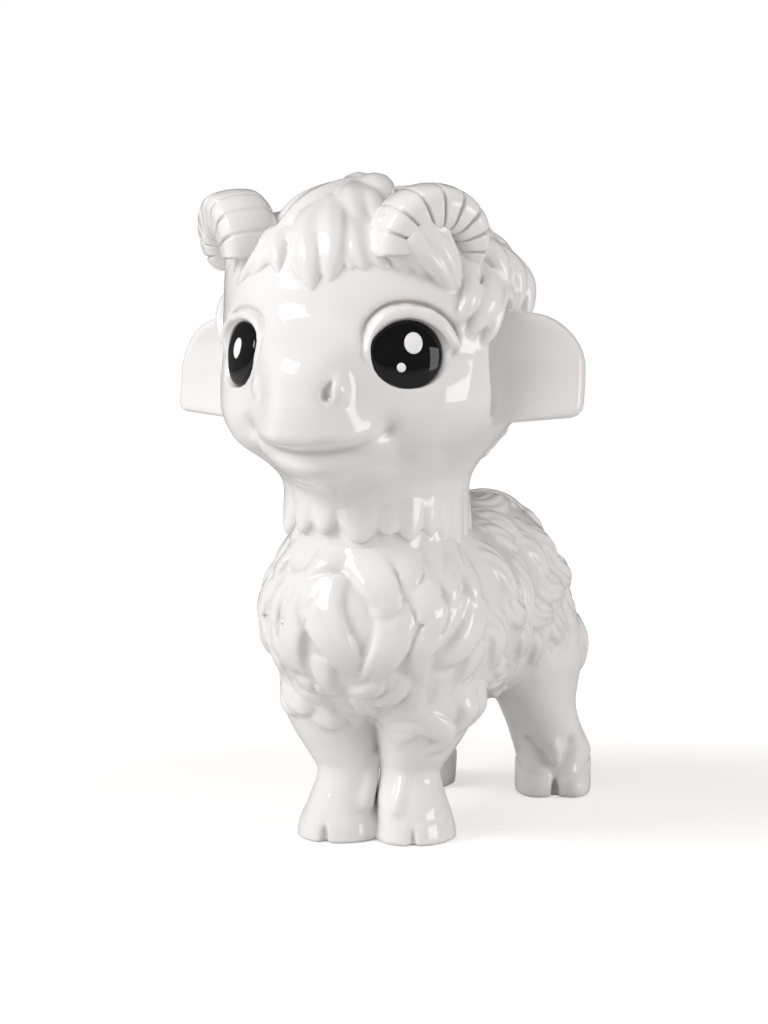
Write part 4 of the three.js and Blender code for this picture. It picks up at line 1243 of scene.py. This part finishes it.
def horn_tree():
    """A curled horn: a flat-faced section along an open coil, with grooves between its ribs."""
    tree = node_tree("ribbed_horn", HORN_SIZES, ("Rings",))
    given = add_node(tree, "NodeGroupInput").outputs

    def calc(operation, *values):
        return maths(tree, operation, *values)

    def product(*values):
        total = values[0]
        for value in values[1:]:
            total = calc("MULTIPLY", total, value)
        return total

    def store(geometry, name, value):
        links = {"Geometry": geometry, "Name": name, "Value": value}
        return wire(tree, "GeometryNodeStoreNamedAttribute", links, data_type="FLOAT", domain="POINT")

    def moved(geometry, **places):
        return wire(tree, "GeometryNodeSetPosition", {"Geometry": geometry, **places})

    def place(**axes):
        return wire(tree, "ShaderNodeCombineXYZ", axes)

    line = wire(tree, "GeometryNodeCurvePrimitiveLine")
    fine = wire(tree, "GeometryNodeResampleCurve", {"Curve": line, "Count": given["Rings"]})
    along = add_node(tree, "GeometryNodeSplineParameter").outputs["Factor"]
    angle = calc("SUBTRACT", given["Start Angle"], product(along, given["Sweep"]))
    from_top = calc("SUBTRACT", product(along, 2.0), 1.0)
    arm = calc("ADD", given["Curl Radius"], product(from_top, from_top, given["Curl Opening"]))
    spot = place(X=product(calc("COSINE", angle), arm), Y=product(along, given["Rise"]),
                 Z=product(calc("SINE", angle), arm))
    coil = moved(fine, Position=spot)
    front = {"Curve": coil, "Normal": (0.0, 1.0, 0.0)}
    faced = wire(tree, "GeometryNodeSetCurveNormal", front, mode="FREE")
    wave = calc("ABSOLUTE", calc("COSINE", product(given["Ribs"], math.pi, along)))
    rib_line = calc("POWER", wave, RIB_SHARPNESS)
    change = calc("SUBTRACT", given["Tip Radius"], given["Root Radius"])
    narrowing = product(calc("POWER", along, TIP_LATENESS), change)
    groove = product(rib_line, given["Groove Depth"], SIDE_GROOVE)
    radius = calc("SUBTRACT", calc("ADD", given["Root Radius"], narrowing), groove)
    cap = calc("POWER", calc("SUBTRACT", 1.0, calc("POWER", along, CAP_LATENESS)), 0.5)
    size = product(radius, calc("MAXIMUM", cap, LEAST_CAP))
    depth = product(given["Depth Ratio"], 2.0)
    square = wire(tree, "GeometryNodeCurvePrimitiveQuadrilateral", {"Width": depth, "Height": 2.0})
    corner = {"Curve": square, "Count": CORNER_POINTS, "Radius": SECTION_ROUNDING, "Limit Radius": True}
    rounded = wire(tree, "GeometryNodeFilletCurve", corner, mode="POLY")
    section = wire(tree, "GeometryNodeResampleCurve", {"Curve": rounded, "Count": SECTION_POINTS})
    where = add_node(tree, "ShaderNodeSeparateXYZ", {0: wire(tree, "GeometryNodeInputPosition")}).outputs
    faceward = calc("DIVIDE", where["X"], given["Depth Ratio"])
    section = store(section, "faceward", faceward)
    dome = calc("SUBTRACT", 1.0 + SECTION_DOME, product(faceward, faceward, SECTION_DOME))
    section = moved(section, Position=place(X=where["X"], Y=product(where["Y"], dome)))
    marked = store(faced, "rib_line", rib_line)
    sweep = {"Curve": marked, "Profile Curve": section, "Scale": size, "Fill Caps": True}
    swept = wire(tree, "GeometryNodeCurveToMesh", sweep)
    face = {0: attribute(tree, "faceward"), 1: FACE_EDGE[0], 2: FACE_EDGE[1]}
    on_front = wire(tree, "ShaderNodeMapRange", face)
    sunk = product(attribute(tree, "rib_line"), on_front, given["Groove Depth"])
    grooved = moved(swept, Offset=place(Y=product(sunk, -1.0)))
    # Painted shade along the rib lines, darker on the flat face
    share = calc("MULTIPLY_ADD", on_front, FACE_SHADE, SIDE_SHADE)
    crease_shade = store(grooved, "crease_shade", product(attribute(tree, "rib_line"), share))
    smooth = wire(tree, "GeometryNodeSetShadeSmooth", {"Geometry": crease_shade})
    close_tree(tree, smooth, given["Finish"])
    return tree


HORN_TREE = horn_tree()


def horn_axes(side):
    """The middle of a horn's curl, the way its flat face looks, and its outward and upward directions."""
    facing = heading(FACE_TURN + side * HORN_TURN, HORN_TILT)
    out = unit(side * np.cross(UP, facing))
    return skull + HORN_PLACE[side], facing, out, side * np.cross(facing, out)


def horn_mesh(side, finish):
    """A horn in place on its upper corner of the forehead, in millimetres."""
    guide = linked("horn_guide", bpy.data.meshes.new("horn_guide"))
    mesh = grown(guide, HORN_TREE, {**HORN_SIZES, "Rings": HORN_RINGS, "Finish": finish})
    centre, facing, out, up = horn_axes(side)
    x, y, z = points_of(mesh).T
    move_points(mesh, centre + x[:, None] * out + y[:, None] * facing + z[:, None] * up)
    if side == RIGHT:
        mesh.flip_normals()
        mesh.update()
    return mesh


# Finishes

def new_finish(name):
    """A material, its tree, its shader and the place on the piece that patterns follow."""
    finish = bpy.data.materials.new(name)
    finish.use_nodes = True
    tree = finish.node_tree
    place = add_node(tree, "ShaderNodeTexCoord").outputs["Object"]
    return finish, tree, tree.nodes["Principled BSDF"].inputs, place


def noise(tree, place, scale, detail):
    return wire(tree, "ShaderNodeTexNoise", {"Vector": place, "Scale": scale, "Detail": detail})


def blend(tree, share, dark, light):
    """A tone between two tones."""
    return add_node(tree, "ShaderNodeMix", {0: share, 6: dark, 7: light}, data_type="RGBA").outputs[2]


def ranged(tree, value, low, high):
    """A value from 0 to 1 moved to another range."""
    return wire(tree, "ShaderNodeMapRange", {0: value, 3: low, 4: high})


def porcelain():
    """White porcelain under clear glaze, with painted shade that darkens its creases and hollows."""
    finish, tree, shader, place = new_finish("glazed_porcelain")
    # The share of painted shade in creases and hollows, stored on each mesh
    crease_shade = add_node(tree, "ShaderNodeAttribute", attribute_name="crease_shade").outputs["Fac"]
    body = blend(tree, noise(tree, place, 45.0, 3.0), (0.79, 0.775, 0.765, 1), (0.83, 0.818, 0.81, 1))
    # The dark warm tone is painted shade, blended in where creases and hollows lie
    tree.links.new(blend(tree, crease_shade, body, (0.40, 0.365, 0.335, 1)), shader["Base Color"])
    streaks = noise(tree, place, 260.0, 2.0)
    tree.links.new(ranged(tree, streaks, 0.05, 0.11), shader["Roughness"])
    ripple = wire(tree, "ShaderNodeBump", {"Height": streaks, "Strength": 0.03, "Distance": 0.0004})
    tree.links.new(ripple, shader["Normal"])
    shader["IOR"].default_value = 1.5
    shader["Coat Weight"].default_value = 0.4
    shader["Coat Roughness"].default_value = 0.03
    return finish


def enamel(name, dark, light):
    """Glossy fired enamel with a faint unevenness of tone."""
    finish, tree, shader, place = new_finish(name)
    clouds = noise(tree, place, 300.0, 2.0)
    tree.links.new(blend(tree, clouds, (*dark, 1), (*light, 1)), shader["Base Color"])
    tree.links.new(ranged(tree, clouds, 0.03, 0.07), shader["Roughness"])
    shader["IOR"].default_value = 1.4
    return finish


# Casting: glaze in the seams, meshes and the painted shade in their hollows

def smoothed(field, rounds):
    """A field run through a small even filter along each axis."""
    for _ in range(rounds):
        for axis in range(3):
            padded = np.pad(field, [(1, 1) if a == axis else (0, 0) for a in range(3)], mode="edge")
            n = field.shape[axis]
            before, middle, after = (np.take(padded, range(i, i + n), axis) for i in range(3))
            field = (before + 2 * middle + after) / 4
    return field


def overlap(a, b):
    """Slices of two blocks that hold the same lattice places, or None."""
    first = np.maximum(a.first, b.first)
    last = np.minimum(a.first + a.shape, b.first + b.shape)
    if (last <= first).any():
        return None
    return tuple(tuple(slice(*pair) for pair in zip(first - c.first, last - c.first)) for c in (a, b))


# How far a piece runs on past a seam, and how steeply it dips under its neighbour there
LAP, DIP = 0.4, 0.3
FOOT_EDGE = 0.8
# Hollows of a surface against its smoothed self: where the painted crease shade begins, and the span to
# full shade
SHADE_ROUNDS, SHADE_START, SHADE_SPAN = 5, 0.05, 0.5
CRISP_SEAMS = {
    frozenset(("front_left_leg", "front_right_leg")): 0.8,
    frozenset(("neck_ruff", "torso_shell")): 0.7,
}


def glazed(name, blocks, fillets):
    """One piece's field with glaze run into its seams, dipping under its neighbour past each seam."""
    own = blocks[name]
    whole = own.field.copy()
    others = np.full(own.shape, FAR, np.float32)
    for other, block in blocks.items():
        shared = None if other == name else overlap(own, block)
        if shared is None:
            continue
        here, there = shared
        others[here] = np.minimum(others[here], block.field[there])
        fillet = CRISP_SEAMS.get(frozenset((name, other)), min(fillets[name], fillets[other]))
        whole[here] = soft_min(whole[here], block.field[there], fillet)
    whole = smoothed(whole, 1)
    whole = soft_max(whole, -own.places()[2], FOOT_EDGE)
    past = (own.field - others) / 2
    return np.maximum(whole + DIP * np.maximum(past + LAP, 0), past - LAP)


def sampled(field, block, points):
    """Values of a field at points, between lattice places."""
    place = points / GRAIN - block.first
    low = np.clip(np.floor(place).astype(int), 0, np.array(block.shape) - 2)
    share = place - low
    total = np.zeros(len(points))
    for corner in np.ndindex(2, 2, 2):
        weight = np.prod(np.where(np.array(corner), share, 1 - share), axis=1)
        total += weight * field[tuple((low + corner).T)]
    return total


def cast(name, block, field, finish):
    """A closed mesh of a piece, in metres, with the share of painted shade at each corner, more the deeper
    it lies in a hollow.
    """
    grid = openvdb.FloatGrid(FAR)
    grid.copyFromArray(np.ascontiguousarray(field), ijk=tuple(int(i) for i in block.first))
    grid.transform = openvdb.createLinearTransform(voxelSize=GRAIN)
    points, triangles, quads = grid.convertToPolygons(0.0, 0.0)
    faces = [face[::-1] for face in quads.tolist() + triangles.tolist()]
    # How deep each corner lies in a hollow, which sets how much painted shade it gets
    hollow = -sampled(smoothed(field, SHADE_ROUNDS) - field, block, points)
    item = piece(name, points, faces, finish)
    mark(item.data, "crease_shade", np.clip((hollow - SHADE_START) / SHADE_SPAN, 0, 1))
    return item


def piece(name, points, faces, finish):
    """A smooth piece through points in millimetres."""
    mesh = bpy.data.meshes.new(name)
    mesh.from_pydata((points * MM).tolist(), [], faces)
    mesh.shade_smooth()
    mesh.materials.append(finish)
    return linked(name, mesh)


def dome(name, finish, base, out, crown, depth):
    """A closed, domed patch over rings of places on a surface: crown high in the middle."""
    rings, sectors = base.shape[:2]
    share = np.linspace(0, 1, rings)[:, None, None]
    top = base + crown * np.sqrt(np.maximum(1 - share**2, 0)) * out
    under = base[-1] - depth * out
    points = np.concatenate([top[:1, 0], top[1:].reshape(-1, 3), under, [under.mean(0)]])
    faces = []
    for k in range(sectors):
        j = (k + 1) % sectors
        last = 1 + (rings - 1) * sectors
        faces.append((0, 1 + k, 1 + j))
        for a in range(1, last, sectors):
            b = a + sectors
            faces.append((a + k, b + k, b + j, a + j))
        faces.append((last + k, len(points) - 1, last + j))
    return piece(name, points, faces, finish)


def eye_disc(side, rings, sectors, size, shift=(0.0, 0.0)):
    """Rings of places on the face in an oval at an eye, and how far across and above its middle."""
    centre, _, along, up = eye_axes(side)
    r = np.linspace(0, 1, rings)[:, None]
    a = np.linspace(0, 2 * np.pi, sectors, endpoint=False)[::side]
    x = shift[0] + r * np.cos(a) * size[0] / 2
    z = shift[1] + r * np.sin(a) * size[1] / 2
    flat = centre + x[..., None] * along + z[..., None] * up
    return settle(head_skin, flat.reshape(-1, 3)).reshape(rings, sectors, 3), x, z


def eye(side, finish):
    """A dome of black enamel in its socket."""
    base, _, _ = eye_disc(side, EYE_RINGS, EYE_SECTORS, EYE)
    out = eye_axes(side)[1]
    return dome(f"{SIDES[side]}_eye_dome", finish, base - EYE_SINK * out, out, EYE_CROWN, EYE_DEPTH)


def eye_dot(name, side, finish, size, shift):
    """A dot of white enamel on an eye's dome, this far across and above the eye's middle."""
    base, x, z = eye_disc(side, DOT_RINGS, DOT_SECTORS, size, shift)
    out = eye_axes(side)[1]
    crown = EYE_CROWN * np.sqrt(np.maximum(1 - (2 * x / EYE[0]) ** 2 - (2 * z / EYE[1]) ** 2, 0))
    lift = crown - EYE_SINK + DOT_LIFT
    return dome(name, finish, base + lift[..., None] * out, out, DOT_CROWN, DOT_DEPTH)


# The pieces

white = porcelain()
black = enamel("black_enamel", (0.004, 0.004, 0.005), (0.008, 0.008, 0.009))
bright = enamel("white_enamel", (0.86, 0.86, 0.86), (0.92, 0.92, 0.92))

blocks = {
    "torso_shell": torso(),
    "head_shell": head(),
    "neck_ruff": ruff(),
    "forelock": forelock(),
    "tail": tail(),
}
fillets = {"torso_shell": 4.0, "head_shell": 6.0, "neck_ruff": 3.0, "forelock": 1.0, "tail": 2.0}
horns = {}
for side, word in SIDES.items():
    blocks[f"{word}_ear"] = ear(side)
    fillets[f"{word}_ear"] = 1.6
    blocks[f"front_{word}_leg"] = front_leg(side)
    fillets[f"front_{word}_leg"] = 3.0
    blocks[f"rear_{word}_leg"] = rear_leg(side)
    fillets[f"rear_{word}_leg"] = 4.0
    node = f"{word}_horn"
    horns[node] = horn_mesh(side, white)
    blocks[node] = block_for("horn", *corners(node))
    blocks[node].field = field_of(blocks[node], horns[node])
    fillets[node] = 1.2

finished = {}
for name, block in blocks.items():
    if name in horns:
        move_points(horns[name], points_of(horns[name]) * MM)
        horns[name].shade_smooth()
        finished[name] = linked(f"{name}_glazed", horns[name])
    else:
        finished[name] = cast(f"{name}_glazed", block, glazed(name, blocks, fillets), white)

finished["left_eye"] = eye(LEFT, black)
finished["right_eye"] = eye(RIGHT, black)
for node, side, size, shift in (
    ("left_eye_highlight", LEFT, (4.2, 4.8), (1.2, 2.4)),
    ("right_eye_highlight", RIGHT, (4.2, 4.8), (-0.3, 1.2)),
    ("left_eye_glint", LEFT, (2.1, 2.1), (-1.7, -3.0)),
):
    finished[node] = eye_dot(f"{node}_dot", side, bright, size, shift)

for node, item in finished.items():
    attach(item, "root")
    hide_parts(node)


# Stage, light and camera. Lamps and floor are in metres, and the camera's view is in millimetres

VIEW_AZIMUTH, VIEW_ELEVATION, VIEW_DISTANCE = 26.0, 4.6, 545.0
FRAME_HEIGHT, PIXEL = 1024, 0.2435
AIM = skull + [-4.5, 14.56, -46.18]
FLOOR_HALF = 2.0
LAMP_AIM = (0.0, 0.0, 0.1)
LAMPS = (
    # name, azimuth, elevation, distance, sizes, power, whether the glaze mirrors it
    ("key_softbox", -40, 35, 0.9, (0.42, 0.28), 3.4, True),
    ("side_panel", 92, -3, 0.9, (0.42, 0.46), 2.2, True),
    ("front_fill", 12, 50, 1.3, (1.2, 1.0), 2.6, False),
    ("left_fill", -42, 4, 1.3, (1.2, 1.0), 9.0, False),
    ("right_fill", 100, 5, 1.2, (1.0, 1.0), 6.0, False),
)


def stage():
    """A pale floor that glows a little in the picture, and less near the goat, which paints a shade round
    the goat beside its real shadow.
    """
    finish, tree, shader, place = new_finish("pale_floor")
    shader["Base Color"].default_value = (0.64, 0.63, 0.62, 1)
    shader["Roughness"].default_value = 0.7
    shader["Emission Color"].default_value = (1, 1, 1, 1)
    seen = add_node(tree, "ShaderNodeLightPath").outputs["Is Camera Ray"]
    away = add_node(tree, "ShaderNodeVectorMath", {0: place}, operation="LENGTH").outputs["Value"]
    # The glow is weaker near the goat: a painted shade round its feet, added to the real shadow
    pale = wire(tree, "ShaderNodeMapRange", {0: away, 1: 0.1, 2: 0.4, 3: 0.5, 4: 1.0})
    tree.links.new(maths(tree, "MULTIPLY", seen, pale), shader["Emission Strength"])
    mesh = bpy.data.meshes.new("floor")
    square = [(x * FLOOR_HALF, y * FLOOR_HALF, 0) for x, y in ((-1, -1), (1, -1), (1, 1), (-1, 1))]
    mesh.from_pydata(square, [], [(0, 1, 2, 3)])
    mesh.materials.append(finish)
    linked("floor", mesh)


def look_from(item, target, azimuth, elevation, distance):
    """Puts a lamp or camera at these angles and this distance from a target, looking at it."""
    back = Vector(heading(azimuth, elevation).tolist())
    item.location = Vector(target) + back * distance
    item.rotation_mode = "QUATERNION"
    item.rotation_quaternion = (-back).to_track_quat("-Z", "Y")


def light():
    """Soft lamps in a pale studio. The picture sees white around, and the glaze mirrors a darker room."""
    world = bpy.data.worlds.new("studio")
    bpy.context.scene.world = world
    world.use_nodes = True
    tree = world.node_tree
    tree.nodes.clear()
    path = add_node(tree, "ShaderNodeLightPath").outputs
    around = ranged(tree, path["Is Glossy Ray"], 0.42, 0.12)
    strength = ranged(tree, path["Is Camera Ray"], around, 1.0)
    warm = blend(tree, path["Is Camera Ray"], (1, 0.96, 0.935, 1), (1, 1, 1, 1))
    back = wire(tree, "ShaderNodeBackground", {"Color": warm, "Strength": strength})
    add_node(tree, "ShaderNodeOutputWorld", {"Surface": back})
    for name, azimuth, elevation, distance, sizes, power, mirrored in LAMPS:
        lamp = bpy.data.lights.new(name, "AREA")
        lamp.shape = "RECTANGLE"
        lamp.size, lamp.size_y = sizes
        lamp.energy = power
        item = linked(name, lamp)
        item.visible_glossy = mirrored
        look_from(item, LAMP_AIM, azimuth, elevation, distance)


def camera():
    lens = bpy.data.cameras.new("photo_camera")
    lens.sensor_fit = "VERTICAL"
    lens.angle = 2 * math.atan(FRAME_HEIGHT / 2 * PIXEL / VIEW_DISTANCE)
    lens.clip_start, lens.clip_end = 0.01, 20
    item = linked("photo_camera", lens)
    look_from(item, AIM * MM, VIEW_AZIMUTH, VIEW_ELEVATION, VIEW_DISTANCE * MM)
    bpy.context.scene.camera = item


stage()
light()
camera()
bpy.context.scene.view_settings.view_transform = "Standard"
